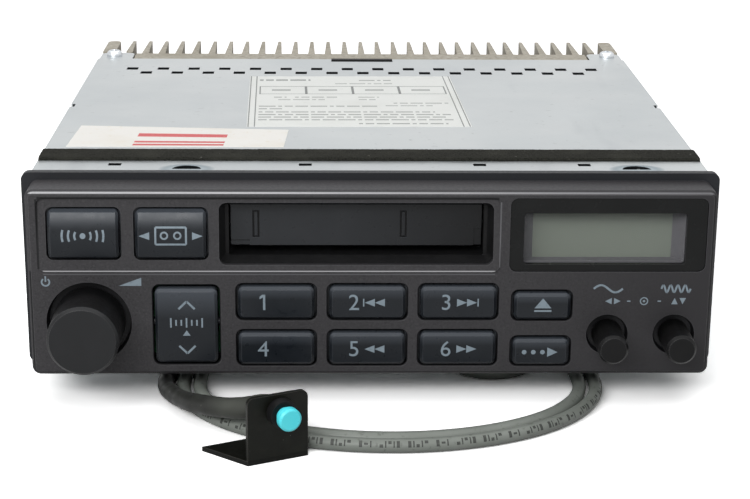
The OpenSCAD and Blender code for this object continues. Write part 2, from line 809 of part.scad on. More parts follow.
module volume_shaft() {
    color([0.7, 0.7, 0.72])
    bar_y(volume_x, volume_z, volume_shaft_d / 2, volume_base_y - volume_proud + 1.7, shaft_y1);
}

module volume_control() {
    color([0.45, 0.46, 0.48])
    difference() {
        union() {
            span([volume_x - volume_half, volume_x + volume_half], [sheet_t, control_y1],
                [volume_z - volume_half, volume_z + volume_half]);
            bar_y(volume_x, volume_z, volume_neck_r, volume_floor_y + knob_floor_t + neck_gap, sheet_t);
        }
        bar_y(volume_x, volume_z, volume_shaft_d / 2 + run_gap, face_y, shaft_y1 + neck_gap);
    }
}

module tone_knob(x) {
    r = tone_d / 2;
    h = tone_proud + 1;
    color([0.17, 0.17, 0.18])
    union() {
        translate([x, tone_base_y, tone_z])
            rotate([90, 0, 0])
                rotate_extrude()
                    polygon([[0, 0], [r, 0], [r - 0.1, h - knob_bevel], [r - knob_bevel, h], [0, h]]);
        bar_y(x, tone_z, tone_shaft_r, tone_base_y, control_y1 - 2 + tone_pull);
    }
}

module tone_sleeve(x) {
    color([0.75, 0.75, 0.77])
    difference() {
        bar_y(x, tone_z, tone_sleeve_r, tone_base_y + neck_gap, control_y1 - 3 + tone_pull);
        bar_y(x, tone_z, tone_shaft_r + run_gap, face_y, control_y1 + tone_pull);
    }
}

module tone_control(x) {
    color([0.45, 0.46, 0.48])
    difference() {
        union() {
            span([x - tone_half, x + tone_half], [sheet_t, control_y1],
                [tone_z - tone_half, tone_z + tone_half]);
            bar_y(x, tone_z, tone_neck_r, tone_floor_y + knob_floor_t + neck_gap, sheet_t);
        }
        bar_y(x, tone_z, tone_sleeve_r + run_gap, face_y, control_y1 + 1);
    }
}

// Cassette slot
module cassette_guide() {
    pocket = bay_w / 2 + pocket_l;
    color([0.08, 0.08, 0.09])
    difference() {
        span([slot_x - guide_half, slot_x + guide_half], [back_y, guide_y1],
            [throat_z0 - guide_floor, hinge_z + hinge_r + 0.1]);
        flare(slot_x, slot_z, slot_w, slot_h, panel_r, back_y, back_y + 2.4, 0, -1.4);
        span([slot_x - bay_w / 2, slot_x + bay_w / 2], [back_y - 1, guide_y1 + 1], [throat_z0, hinge_z + 2]);
        bar_x(hinge_y, hinge_z, trunnion_r + run_gap, slot_x - pocket, slot_x + pocket);
    }
}

module cassette_door() {
    z0 = hinge_z - door_drop;
    pin = bay_w / 2 + trunnion_l;
    color([0.16, 0.165, 0.175])
    union() {
        difference() {
            union() {
                bar_x(hinge_y, hinge_z, hinge_r, slot_x - door_w / 2, slot_x + door_w / 2);
                span([slot_x - door_w / 2, slot_x + door_w / 2], [hinge_y - door_t / 2, hinge_y + door_t / 2],
                    [z0, hinge_z]);
            }
            span([slot_x - door_w / 2 - 1, slot_x - door_w / 2 + 4.9], [hinge_y - 2, hinge_y - 0.3],
                [z0 - 1, z0 + 1.5]);
            span([slot_x + door_w / 2 - 2, slot_x + door_w / 2 + 1], [hinge_y - 2, hinge_y - 0.3],
                [z0 - 1, z0 + 4.6]);
            for (x = door_mark_x)
                span([slot_x + x - 0.9, slot_x + x + 0.9], [hinge_y - 2, hinge_y - 0.4],
                    [z0 + 2.2, z0 + 9.4]);
        }
        for (x = door_mark_x)
            span([slot_x + x - 0.4, slot_x + x + 0.4], [hinge_y - 1, hinge_y - 0.3],
                [z0 + 2.6, z0 + 9]);
        bar_x(hinge_y, hinge_z, trunnion_r, slot_x - pin, slot_x + pin);
    }
}

// Case
module front_plate() {
    color([0.74, 0.76, 0.77])
    difference() {
        span([-plate_x, plate_x], [0, sheet_t], [-in_z, in_z]);
        span([slot_x - bay_w / 2 - 1, slot_x + bay_w / 2 + 1], [-1, 2], [throat_z0 - 1.6, hinge_z + 2.2]);
        bar_y(volume_x, volume_z, volume_neck_r + plate_gap, -1, 2);
        for (x = [bass_x, treble_x])
            bar_y(x, tone_z, tone_neck_r + plate_gap, -1, 2);
    }
}

module case_tray() {
    color([0.76, 0.78, 0.79])
    difference() {
        union() {
            span([-side_x, side_x], [0, case_d], [-top_z, -in_z]);
            for (s = [-1, 1])
                span([s > 0 ? plate_x : -plate_x - sheet_t, s > 0 ? plate_x + sheet_t : -plate_x],
                    [0, case_d], [-in_z, in_z]);
            span([-plate_x, plate_x], [case_d - sheet_t, case_d], [-in_z, in_z]);
        }
        for (y = [0, 1])
            bar_x(side_hole_y + y * side_hole_gap, 0, side_hole_r, -side_x - 1, side_x + 1);
        bar_y(outlet_x, outlet_z, outlet_r, case_d - 3, case_d + 1);
        bar_y(aerial_x, socket_z, aerial_in_r + panel_gap, case_d - 3, case_d + 1);
        translate([socket_x, case_d, socket_z])
            cube([socket_w - 2 * socket_wall, 6, socket_h - 2 * socket_wall], center = true);
    }
}

module top_cover() {
    vents = floor((plate_x - 4) / vent_pitch) * 2;
    rows = [[vent_y[0], 0.5, vents], [vent_y[1], 1, vents - 1]];
    color([0.78, 0.8, 0.81])
    difference() {
        union() {
            span([-side_x, side_x], [0, case_d], [in_z, top_z]);
            for (s = [-1, 1]) {
                span([s > 0 ? side_x - sheet_t : -side_x, s > 0 ? side_x : -side_x + sheet_t],
                    [0, case_d], [in_z - cover_lip, in_z]);
                slab_z(s * (screw_x - 1), case_d + 4, tab_w, tab_l);
            }
        }
        for (row = rows, i = [0:row[2] - 1])
            translate([(i + row[1] - vents / 2) * vent_pitch, row[0], 0])
                span([-vent_l / 2, vent_l / 2], [-vent_w / 2, vent_w / 2], [in_z - 1, top_z + 1]);
        for (x = slit_x)
            span([x - slit_l / 2, x + slit_l / 2], [slit_y - slit_w / 2, slit_y + slit_w / 2],
                [in_z - 1, top_z + 1]);
        for (x = moon_x)
            half_moon(x, moon_y);
        for (s = [-1, 1])
            span([s * side_x - notch_d, s * side_x + notch_d], [notch_y - notch_l / 2, notch_y + notch_l / 2],
                [in_z - cover_lip - 1, top_z + 1]);
        span([-rear_notch_w / 2, rear_notch_w / 2], [case_d - rear_notch_d, case_d + 1],
            [in_z - 1, top_z + 1]);
        for (s = [-1, 1])
            bar_z([s * screw_x, screw_y], screw_r + 0.35, in_z - 1, top_z + 1);
    }
}

// tab of the top cover, with round corners
module slab_z(x, y, w, d) {
    translate([x, y, in_z])
        linear_extrude(sheet_t)
            rounded(w, d, tab_r);
}

// half-moon hole near the front edge of the top cover
module half_moon(x, y) {
    translate([x, y, in_z - 1])
        intersection() {
            cylinder(h = sheet_t + 2, r = moon_r);
            translate([-moon_r, 0, 0])
                cube([2 * moon_r, moon_r, sheet_t + 2]);
        }
}

module foam_strip() {
    w = 2 * (side_x - foam_edge);
    r = min(foam_h, foam_w) / 4;
    color([0.2, 0.2, 0.19])
    union() {
        span([-w / 2, w / 2], [foam_y, foam_y + foam_w], [top_z, top_z + foam_h - r]);
        span([-w / 2, w / 2], [foam_y + r, foam_y + foam_w - r], [top_z, top_z + foam_h]);
        for (y = [foam_y + r, foam_y + foam_w - r])
            bar_x(y, top_z + foam_h - r, r, -w / 2, w / 2);
    }
}

module heat_sink() {
    base_y = case_d + sink_base;
    z0 = sink_z0;
    color([0.62, 0.6, 0.55])
    difference() {
        union() {
            span([-plate_x, plate_x], [case_d, base_y], [z0, in_z]);
            span([-plate_x, plate_x], [case_d + panel_gap, base_y], [in_z - 0.5, in_z + fin_top]);
            for (i = [-fins:fins])
                translate([i * fin_pitch, 0, z0])
                    linear_extrude(in_z + fin_top - z0)
                        polygon([[-fin_root / 2, base_y - 0.2], [fin_root / 2, base_y - 0.2],
                            [fin_tip / 2, base_y + fin_l], [-fin_tip / 2, base_y + fin_l]]);
            for (s = [-1, 1])
                translate([s * (side_x - ear_in), base_y + (fin_l - 1) / 2, z0])
                    linear_extrude(in_z + fin_top - z0)
                        rounded(ear_w, fin_l + 1, ear_r);
        }
        for (s = [-1, 1])
            bar_z([s * screw_x, screw_y], screw_r + run_gap, in_z - screw_l - 1, in_z + 1);
        for (s = [-1, 1])
            translate([s * screw_x, screw_y + 1, in_z])
                linear_extrude(3)
                    square([tab_w + 3, tab_l + 2], center = true);
    }
}

module cover_screws() {
    color([0.85, 0.86, 0.88])
    for (s = [-1, 1])
        translate([s * screw_x, screw_y, top_z])
            union() {
                rotate_extrude()
                    polygon([[0, 0], [screw_head_r, 0], [screw_head_r, screw_head_h * 0.4],
                        [screw_head_r * 0.77, screw_head_h * 0.8], [screw_head_r * 0.38, screw_head_h],
                        [0, screw_head_h]]);
                translate([0, 0, -screw_l])
                    cylinder(h = screw_l, r = screw_r);
            }
}

module main_circuit_board() {
    z1 = board_z0 + board_t;
    color([0.12, 0.34, 0.2])
    difference() {
        union() {
            span([-plate_x + board_side, plate_x - board_side], board_y, [board_z0, z1]);
            translate([tuner_at[0], tuner_at[1], z1])
                cube(tuner_size);
            for (y = can_y)
                bar_z([can_x, y], can_r, z1, z1 + can_h);
            for (p = standoff_xy)
                bar_z(p, standoff_r, -in_z, board_z0);
        }
        bar_z(motor_xy, motor_r + motor_gap, board_z0 - 1, z1 + 1);
        for (p = leg_xy)
            bar_z(p, leg_r + leg_gap, board_z0 - 1, z1 + 1);
    }
}

module power_amplifiers() {
    color([0.12, 0.12, 0.13])
    for (x = [-amp_x, amp_x])
        translate([x - amp_size[0] / 2, case_d - sheet_t - amp_size[1], amp_z])
            cube(amp_size);
}

// Tape deck
module deck_plate() {
    color([0.7, 0.71, 0.72])
    difference() {
        union() {
            span([deck_x0, deck_x1], [deck_y0, deck_y1], [deck_z - deck_t, deck_z]);
            for (p = leg_xy)
                bar_z(p, leg_r, -in_z, deck_z - deck_t);
            for (y = left_post_y)
                bar_z([left_post_x, y], post_r, deck_z, in_z - 0.8);
            for (y = right_post_y)
                bar_z([right_post_x, y], post_r, deck_z, in_z - 0.8);
            for (y = guide_pin_y)
                bar_z([guide_pin_x, y], pin_r, deck_z, deck_z + head_lift + head_t + 0.7);
        }
        for (y = capstan_y)
            bar_z([capstan_x, y], capstan_r + run_gap, deck_z - 3, deck_z + 1);
        for (y = reel_y)
            bar_z([reel_x, y], reel_axle_r + run_gap, deck_z - 3, deck_z + 1);
    }
}

module cassette_carriage() {
    x0 = slot_x - tray_w / 2;
    x1 = slot_x + tray_w / 2;
    z0 = throat_z0 - sheet_t;
    color([0.66, 0.67, 0.69])
    difference() {
        union() {
            span([x0 - sheet_t, x1 + sheet_t], [tray_y0, tray_y1], [tray_roof, tray_roof + sheet_t]);
            span([x0 - sheet_t, x0], [tray_y0, tray_y1], [z0, tray_roof]);
            span([x0, x0 + 2.8], [tray_y0, tray_y1], [z0, throat_z0]);
            for (y = [[tray_y0, 18], [90, tray_y1]]) {
                span([x1, x1 + sheet_t], y, [z0, tray_roof]);
                span([x1 - 2.8, x1], y, [z0, throat_z0]);
            }
            span([x0, x1], [tray_y1 - sheet_t, tray_y1], [z0 + 6, tray_roof]);
            for (y = left_post_y)
                span([left_post_x - 3, x0], [y - 3, y + 3], [tray_roof, tray_roof + sheet_t]);
            for (y = right_post_y)
                span([x1, right_post_x + 3], [y - 3, y + 3], [tray_roof, tray_roof + sheet_t]);
        }
        for (y = left_post_y)
            bar_z([left_post_x, y], post_r + run_gap, tray_roof - 1, tray_roof + 3);
        for (y = right_post_y)
            bar_z([right_post_x, y], post_r + run_gap, tray_roof - 1, tray_roof + 3);
    }
}

module head_plate() {
    z0 = deck_z + head_lift;
    color([0.72, 0.73, 0.74])
    difference() {
        union() {
            span([pinch_x - 2.4, guide_pin_x + head_travel + 3.4],
                [capstan_y[0] - head_margin, capstan_y[1] + head_margin], [z0, z0 + head_t]);
            for (y = capstan_y)
                bar_z([pinch_x, y], pin_r, z0 + head_t, pinch_z1 + 0.6);
        }
        for (y = guide_pin_y)
            span([guide_pin_x - pin_r - pin_gap, guide_pin_x + head_travel + pin_r + pin_gap],
                [y - pin_r - pin_gap, y + pin_r + pin_gap], [z0 - 1, z0 + head_t + 1]);
    }
}

module tape_head() {
    x0 = pinch_x - 0.4;
    color([0.78, 0.76, 0.7])
    union() {
        span([x0, x0 + 4], [head_y - head_foot_w / 2, head_y + head_foot_w / 2],
            [deck_z + head_lift + head_t, head_z0]);
        span([x0 + 0.8, x0 + 7], [head_y - head_w / 2, head_y + head_w / 2], [head_z0, head_z1]);
        bar_z([x0 + 3.2, head_y], head_r, head_z0, head_z1);
    }
}

module pinch_roller(y) {
    color([0.12, 0.12, 0.12])
    difference() {
        bar_z([pinch_x, y], pinch_r, deck_z + head_lift + head_t + 0.7, pinch_z1);
        bar_z([pinch_x, y], pin_r + run_gap, deck_z, pinch_z1 + 1);
    }
}

module flywheel(y) {
    color([0.68, 0.62, 0.45])
    union() {
        bar_z([capstan_x, y], wheel_r, wheel_z0, wheel_z0 + wheel_h);
        bar_z([capstan_x, y], capstan_r, wheel_z0 - 1, spindle_top);
    }
}

module reel_hub(y) {
    z0 = deck_z + head_lift;
    color([0.85, 0.85, 0.83])
    union() {
        bar_z([reel_x, y], reel_flange_r, z0, z0 + reel_flange_t);
        bar_z([reel_x, y], reel_r, z0 + reel_flange_t, spindle_top);
        bar_z([reel_x, y], reel_axle_r, deck_z - deck_t - 1.2, z0);
        for (a = [0, 120, 240])
            translate([reel_x, y, z0 + reel_flange_t])
                rotate([0, 0, a])
                    translate([reel_r - 0.6, -0.6, 0])
                        cube([1.5, 1.2, spindle_top - z0 - reel_flange_t - 0.6]);
    }
}

module deck_motor() {
    color([0.6, 0.61, 0.63])
    union() {
        bar_z(motor_xy, motor_r, -in_z + motor_lift, motor_top);
        for (a = [200, 295])
            bar_z(motor_xy + motor_post_at * [cos(a), sin(a)], motor_post_r, motor_top, deck_z - deck_t);
    }
}

module motor_pulley() {
    color([0.8, 0.7, 0.4])
    union() {
        bar_z(motor_xy, pulley_r, motor_top + 0.3, belt_z0 + belt_h + 0.8);
        bar_z(motor_xy, pulley_r + belt_t + 0.4, motor_top + 0.3, belt_z0 - 0.3);
    }
}

// outline around the pulley and the rear flywheel
module belt_loop(d) {
    hull() {
        translate(motor_xy)
            circle(pulley_r + d);
        translate([capstan_x, capstan_y[1]])
            circle(wheel_r + d);
    }
}

module drive_belt() {
    color([0.1, 0.1, 0.1])
    translate([0, 0, belt_z0])
        linear_extrude(belt_h)
            difference() {
                belt_loop(belt_gap + belt_t);
                belt_loop(belt_gap);
            }
}

// Rear
module wiring_socket() {
    w = socket_w / 2;
    h = socket_h / 2;
    color([0.85, 0.84, 0.78])
    translate([socket_x, case_d, socket_z])
        difference() {
            union() {
                span([-w, w], [0, socket_l], [-h, h]);
                span([-w + socket_wall + panel_gap, w - socket_wall - panel_gap], [-socket_in, 0],
                    [-h + socket_wall + panel_gap, h - socket_wall - panel_gap]);
            }
            span([-w + socket_wall, w - socket_wall], [socket_wall, socket_l + 1],
                [-h + socket_wall, h - socket_wall]);
        }
}

module aerial_socket() {
    color([0.75, 0.76, 0.78])
    difference() {
        union() {
            bar_y(aerial_x, socket_z, aerial_flange_r, case_d, case_d + rear_flange_t);
            bar_y(aerial_x, socket_z, aerial_r, case_d + rear_flange_t, case_d + aerial_l);
            bar_y(aerial_x, socket_z, aerial_in_r, case_d - socket_in, case_d);
        }
        bar_y(aerial_x, socket_z, aerial_bore_r, case_d + rear_flange_t / 2, case_d + aerial_l + 1);
    }
}

module cable_grommet() {
    color([0.1, 0.1, 0.1])
    union() {
        bar_y(outlet_x, outlet_z, grommet_flange_r, case_d, case_d + rear_flange_t);
        bar_y(outlet_x, outlet_z, grommet_r, case_d + rear_flange_t, outlet_y);
        bar_y(outlet_x, outlet_z, outlet_r - run_gap, case_d - sheet_t - 1.8, case_d);
    }
}

// Remote button
module remote_cable_coil() {
    color([0.45, 0.46, 0.44])
    tube(loop_path, cable_r, 6);
}

module remote_cable_tail() {
    color([0.45, 0.46, 0.44])
    tube(smooth(tail_path, 2), cable_r, 8);
}

module cable_sleeve() {
    color([0.1, 0.1, 0.1])
    tube(smooth(sleeve_path, 2), sleeve_r, 8);
}

module on_bracket() {
    translate(bracket_at)
        rotate([0, 0, bracket_turn])
            children();
}

module button_bracket() {
    color([0.1, 0.1, 0.11])
    on_bracket()
        difference() {
            union() {
                translate([bracket_w / 2, bracket_t, bracket_h / 2])
                    rotate([90, 0, 0])
                        linear_extrude(bracket_t)
                            rounded(bracket_w, bracket_h, 1.7);
                cube([bracket_w, bracket_t, 3]);
                linear_extrude(bracket_t)
                    polygon([[0, 0], [bracket_w, 0], [bracket_w - foot_cut, bracket_foot],
                        [-foot_out, bracket_foot]]);
            }
            bar_y(switch_x, switch_h, switch_r, -1, bracket_t + 1);
        }
}

module remote_switch() {
    color([0.14, 0.14, 0.15])
    on_bracket()
        difference() {
            union() {
                bar_y(switch_x, switch_h, switch_r, 0, bracket_t + switch_l);
                bar_y(switch_x, switch_h, collar_r, -collar_l, 0);
            }
            bar_y(switch_x, switch_h, 2.2 + run_gap, -collar_l - 1, bracket_t + 3);
        }
}

module remote_button() {
    color([0.25, 0.8, 0.92])
    on_bracket()
        union() {
            translate([switch_x, -collar_l - cap_travel - 0.2, switch_h])
                rotate([90, 0, 0])
                    rotate_extrude()
                        polygon([[0, 0], [cap_d / 2, 0], [cap_d / 2, cap_l - cap_travel - 0.7],
                            [cap_d / 2 - 0.5, cap_l - cap_travel - 0.2], [0, cap_l - cap_travel - 0.2]]);
            bar_y(switch_x, switch_h, 2.2, -collar_l - cap_travel - 0.2, bracket_t + 1);
        }
}

front_bezel();
display_mask();
display_lens();
display_shroud();
lcd_panel();
front_circuit_board();
key_switches();
cassette_guide();
cassette_door();
band_button();
tape_button();
tune_rocker();
preset(0);  // preset_button_1
preset(1);  // preset_button_2
preset(2);  // preset_button_3
preset(3);  // preset_button_4
preset(4);  // preset_button_5
preset(5);  // preset_button_6
eject_button();
scan_button();
volume_control();
volume_shaft();
volume_knob();
tone_control(bass_x);  // bass_control
tone_sleeve(bass_x);  // bass_sleeve
tone_knob(bass_x);  // bass_knob
tone_control(treble_x);  // treble_control
tone_sleeve(treble_x);  // treble_sleeve
tone_knob(treble_x);  // treble_knob
front_plate();
case_tray();
top_cover();
foam_strip();
heat_sink();
cover_screws();
main_circuit_board();
power_amplifiers();
deck_plate();
cassette_carriage();
head_plate();
tape_head();
pinch_roller(capstan_y[0]);  // pinch_roller_front
pinch_roller(capstan_y[1]);  // pinch_roller_rear
flywheel(capstan_y[0]);  // flywheel_front
flywheel(capstan_y[1]);  // flywheel_rear
reel_hub(reel_y[0]);  // reel_hub_front
reel_hub(reel_y[1]);  // reel_hub_rear
deck_motor();
motor_pulley();
drive_belt();
wiring_socket();
aerial_socket();
cable_grommet();
remote_cable_coil();
remote_cable_tail();
cable_sleeve();
button_bracket();
remote_switch();
remote_button();
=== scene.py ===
import math

import bmesh
import bpy
from mathutils import Matrix, Vector, noise


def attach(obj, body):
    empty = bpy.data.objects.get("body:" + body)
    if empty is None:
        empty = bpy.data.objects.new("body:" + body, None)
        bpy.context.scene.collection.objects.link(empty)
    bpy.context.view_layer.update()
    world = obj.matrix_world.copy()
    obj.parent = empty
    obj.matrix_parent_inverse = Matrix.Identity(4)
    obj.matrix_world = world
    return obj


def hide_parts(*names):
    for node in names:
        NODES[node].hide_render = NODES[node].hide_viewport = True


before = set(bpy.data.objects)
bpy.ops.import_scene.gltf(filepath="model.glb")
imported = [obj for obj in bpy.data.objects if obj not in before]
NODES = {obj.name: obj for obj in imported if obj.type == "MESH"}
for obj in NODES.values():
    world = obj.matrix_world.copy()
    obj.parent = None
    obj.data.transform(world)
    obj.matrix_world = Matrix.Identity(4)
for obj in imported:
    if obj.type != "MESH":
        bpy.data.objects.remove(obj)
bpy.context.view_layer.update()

# All places are in millimetres in the row frame, and become metres when a mesh is made.
MM = 0.001
UP = Vector((0, 0, 1))
FACE_Y = -12.8  # front of the nose
KEY_Y = -14.0  # front of the flat keys
TOP_Z = 25.0  # upper side of the cover
GROUND_Z = -34.8  # floor
INK_T = 0.05  # ink above a surface, and as much of it below

# Camera: place in millimetres, angles in degrees, focal length in pixels of the photo
CAMERA_AT = (-11.6, -465.4, 149.9)
CAMERA_YAW, CAMERA_PITCH, CAMERA_ROLL = 1.55, 17.36, 0.49
FOCAL_PX, PHOTO_W, SENSOR = 1843.0, 750.0, 36.0
CLIP_NEAR, CLIP_FAR = 0.01, 50


def make_camera():
    yaw, pitch, roll = (math.radians(a) for a in (CAMERA_YAW, CAMERA_PITCH, CAMERA_ROLL))
    right = Vector((math.cos(yaw), -math.sin(yaw), 0))
    ahead = Vector((math.sin(yaw) * math.cos(pitch), math.cos(yaw) * math.cos(pitch), -math.sin(pitch)))
    up = right.cross(ahead)
    side = right * math.cos(roll) + up * math.sin(roll)
    above = up * math.cos(roll) - right * math.sin(roll)
    camera = bpy.data.cameras.new("camera")
    camera.sensor_width = SENSOR
    camera.lens = FOCAL_PX * SENSOR / PHOTO_W
    camera.clip_start, camera.clip_end = CLIP_NEAR, CLIP_FAR
    obj = bpy.data.objects.new("camera", camera)
    turn = Matrix((side, above, -ahead)).transposed().to_4x4()
    obj.matrix_world = Matrix.Translation(Vector(CAMERA_AT) * MM) @ turn
    bpy.context.scene.collection.objects.link(obj)
    bpy.context.scene.camera = obj


make_camera()


# Meshes
def add_mesh(name, verts, faces, mat, smooth=False):
    """One object from points in millimetres."""
    mesh = bpy.data.meshes.new(name)
    mesh.from_pydata([Vector(v) * MM for v in verts], [], faces)
    bm = bmesh.new()
    bm.from_mesh(mesh)
    bmesh.ops.recalc_face_normals(bm, faces=bm.faces)
    bm.to_mesh(mesh)
    bm.free()
    mesh.polygons.foreach_set("use_smooth", [smooth] * len(mesh.polygons))
    mesh.materials.append(mat)
    obj = bpy.data.objects.new(name, mesh)
    bpy.context.scene.collection.objects.link(obj)
    return obj


SQUARE = ((-1, -1), (1, -1), (1, 1), (-1, 1))


def skin(rings, sides, base=0):
    """Faces of a closed form whose points lie in rings: its sides, then its two ends."""
    faces = []
    for i in range(rings - 1):
        a, b = base + i * sides, base + (i + 1) * sides
        for k in range(sides):
            j = (k + 1) % sides
            faces.append((a + k, a + j, b + j, b + k))
    last = base + (rings - 1) * sides
    return faces + [tuple(base + k for k in range(sides)), tuple(last + k for k in range(sides))]


def along(points, n):
    """Points of a smooth curve through the given ones, n to each step."""
    out = []
    last = len(points) - 1
    for i in range(last):
        a, b, c, d = (Vector(points[min(max(i + k, 0), last)]) for k in (-1, 0, 1, 2))
        for k in range(n):
            u = k / n
            out.append(0.5 * (2 * b + (c - a) * u + (2 * a - 5 * b + 4 * c - d) * u * u
                              + (3 * b - a - 3 * c + d) * u ** 3))
    return out + [Vector(points[last])]


def frames(path):
    """At each point of a path: a level axis across it, and the axis above it."""
    out = []
    for i in range(len(path)):
        ahead = (path[min(i + 1, len(path) - 1)] - path[max(i - 1, 0)]).normalized()
        side = UP.cross(ahead).normalized()
        out.append((side, ahead.cross(side)))
    return out


def tube(name, path, radius, sides, mat):
    """Closed tube; radius is a function of the point's number and the angle."""
    verts = []
    for i, (p, (side, above)) in enumerate(zip(path, frames(path))):
        for k in range(sides):
            a = 2 * math.pi * k / sides
            verts.append(p + (side * math.cos(a) + above * math.sin(a)) * radius(i, a))
    return add_mesh(name, verts, skin(len(path), sides), mat, smooth=True)


# Materials
NOISE_1MM, CELLS_1MM = 500.0, 1000.0  # scales at which a feature is about 1 mm
NOISE_LOW, NOISE_HIGH = 0.3, 0.7  # where most of a noise lies
MIX_A, MIX_B, MIX_OUT = 6, 7, 2  # colour sockets of a Mix node
BEVEL_SAMPLES = 4


def linear(rgb):
    """Colour as it is seen, 0 to 255, to the value that a shader takes."""
    def one(c):
        c /= 255
        return c / 12.92 if c <= 0.04045 else ((c + 0.055) / 1.055) ** 2.4
    return tuple(one(c) for c in rgb) + (1.0,)


def lift(rgb, by):
    return tuple(max(c + by, 0) for c in rgb)


class Look:
    """A material with its shader, and the nodes that vary it over the surface."""

    def __init__(self, name, rgb, rough, metallic=0.0):
        self.mat = bpy.data.materials.new(name)
        self.mat.use_nodes = True
        self.tree = self.mat.node_tree
        self.shader = self.tree.nodes["Principled BSDF"]
        self.shader.inputs["Base Color"].default_value = linear(rgb)
        self.shader.inputs["Roughness"].default_value = rough
        self.shader.inputs["Metallic"].default_value = metallic
        self.colour = linear(rgb)
        self.normal = None

    def put(self, socket, value):
        self.shader.inputs[socket].default_value = value
        return self

    def gloss(self, level):
        return self.put("Specular IOR Level", level)

    def node(self, kind, **inputs):
        n = self.tree.nodes.new(kind)
        for key, value in inputs.items():
            self.feed(n.inputs[key], value)
        return n

    def feed(self, socket, value):
        if isinstance(value, bpy.types.NodeSocket):
            self.tree.links.new(value, socket)
        else:
            socket.default_value = value

    def coords(self, kind):
        return self.node("ShaderNodeTexCoord").outputs[kind]

    def place(self, stretch=(1, 1, 1)):
        return self.node("ShaderNodeMapping", Vector=self.coords("Object"), Scale=stretch).outputs[0]

    def noise(self, size_mm, detail=2.0, stretch=(1, 1, 1)):
        """Soft noise with features of about that size, from 0 to 1."""
        n = self.node("ShaderNodeTexNoise", Vector=self.place(stretch), Scale=NOISE_1MM / size_mm,
                      Detail=detail)
        return n.outputs["Fac"]

    def cells(self, size_mm):
        n = self.node("ShaderNodeTexVoronoi", Vector=self.place(), Scale=CELLS_1MM / size_mm)
        return n.outputs["Distance"]

    def band(self, value, low, high, to_low=0.0, to_high=1.0):
        n = self.node("ShaderNodeMapRange", Value=value)
        for key, v in (("From Min", low), ("From Max", high), ("To Min", to_low), ("To Max", to_high)):
            n.inputs[key].default_value = v
        return n.outputs[0]

    def maths(self, kind, operation, *values):
        n = self.tree.nodes.new(kind)
        n.operation = operation
        for socket, value in zip(n.inputs, values):
            self.feed(socket, value)
        return n.outputs

    def times(self, a, b):
        return self.maths("ShaderNodeMath", "MULTIPLY", a, b)[0]

    def within(self, x=(None, None), y=(None, None), z=(None, None), soft=0.08):
        """1 inside a box of the row frame in millimetres, 0 outside it; None leaves a side open."""
        at = self.node("ShaderNodeSeparateXYZ", Vector=self.coords("Object"))
        mask = 1.0
        for out, (low, high) in zip(at.outputs, (x, y, z)):
            for limit, way in ((low, soft), (high, -soft)):
                if limit is not None:
                    mask = self.times(mask, self.band(out, (limit - way) * MM, (limit + way) * MM))
        return mask

    def spot(self, x, y, rx, ry, soft):
        """1 in an ellipse seen from above, fading to 0 round it."""
        move = self.node("ShaderNodeMapping", Vector=self.coords("Object"), Location=(-x / rx, -y / ry, 0),
                         Scale=(1 / rx / MM, 1 / ry / MM, 0))
        size = self.maths("ShaderNodeVectorMath", "LENGTH", move.outputs[0])["Value"]
        return self.band(size, 1 + soft, 1 - soft)

    def share(self, axis):
        """0 to 1 across the piece's own box."""
        return self.node("ShaderNodeSeparateXYZ", Vector=self.coords("Generated")).outputs[axis]

    def tint(self, mask, rgb):
        """Paints rgb over the colour so far where the mask is 1."""
        n = self.tree.nodes.new("ShaderNodeMix")
        n.data_type = "RGBA"
        self.feed(n.inputs["Factor"], mask)
        self.feed(n.inputs[MIX_A], self.colour)
        n.inputs[MIX_B].default_value = linear(rgb)
        self.colour = n.outputs[MIX_OUT]
        self.tree.links.new(self.colour, self.shader.inputs["Base Color"])
        return self

    def roughness(self, mask, low, high):
        self.feed(self.shader.inputs["Roughness"], self.band(mask, NOISE_LOW, NOISE_HIGH, low, high))
        return self

    def bevel(self, radius_mm):
        n = self.node("ShaderNodeBevel", Radius=radius_mm * MM)
        n.samples = BEVEL_SAMPLES
        return n.outputs[0]

    def edge(self, radius_mm, low=0.02, high=0.25):
        """1 along the edges of the solid, 0 on its flat faces."""
        flat = self.tree.nodes.new("ShaderNodeNewGeometry").outputs["True Normal"]
        turn = self.maths("ShaderNodeVectorMath", "DOT_PRODUCT", self.bevel(radius_mm), flat)["Value"]
        return self.band(turn, 1 - low, 1 - high)

    def lean(self, normal):
        self.normal = normal
        self.tree.links.new(normal, self.shader.inputs["Normal"])
        return self

    def bump(self, height, depth_mm, strength):
        n = self.node("ShaderNodeBump", Height=height, Strength=strength, Distance=depth_mm * MM)
        if self.normal is not None:
            self.feed(n.inputs["Normal"], self.normal)
        return self.lean(n.outputs[0])

    def soften(self, radius_mm):
        """Rounds the look of sharp edges."""
        return self.lean(self.bevel(radius_mm))


# colours of painted shade: in the openings, and along the left and upper edges of the panel
WELL_SHADE_RGB, STEP_SHADE_RGB = (22, 22, 24), (16, 16, 18)
PANEL_X, PANEL_Z = (-85.9, 33.0), (2.3, 22.1)
NOSE_X, NOSE_Z = 88.4, (-25.6, 22.6)
WELL_Y, PANEL_WELL_Y, FLANGE_Y = (-12.65, -3), (-11.7, -3), -2.56


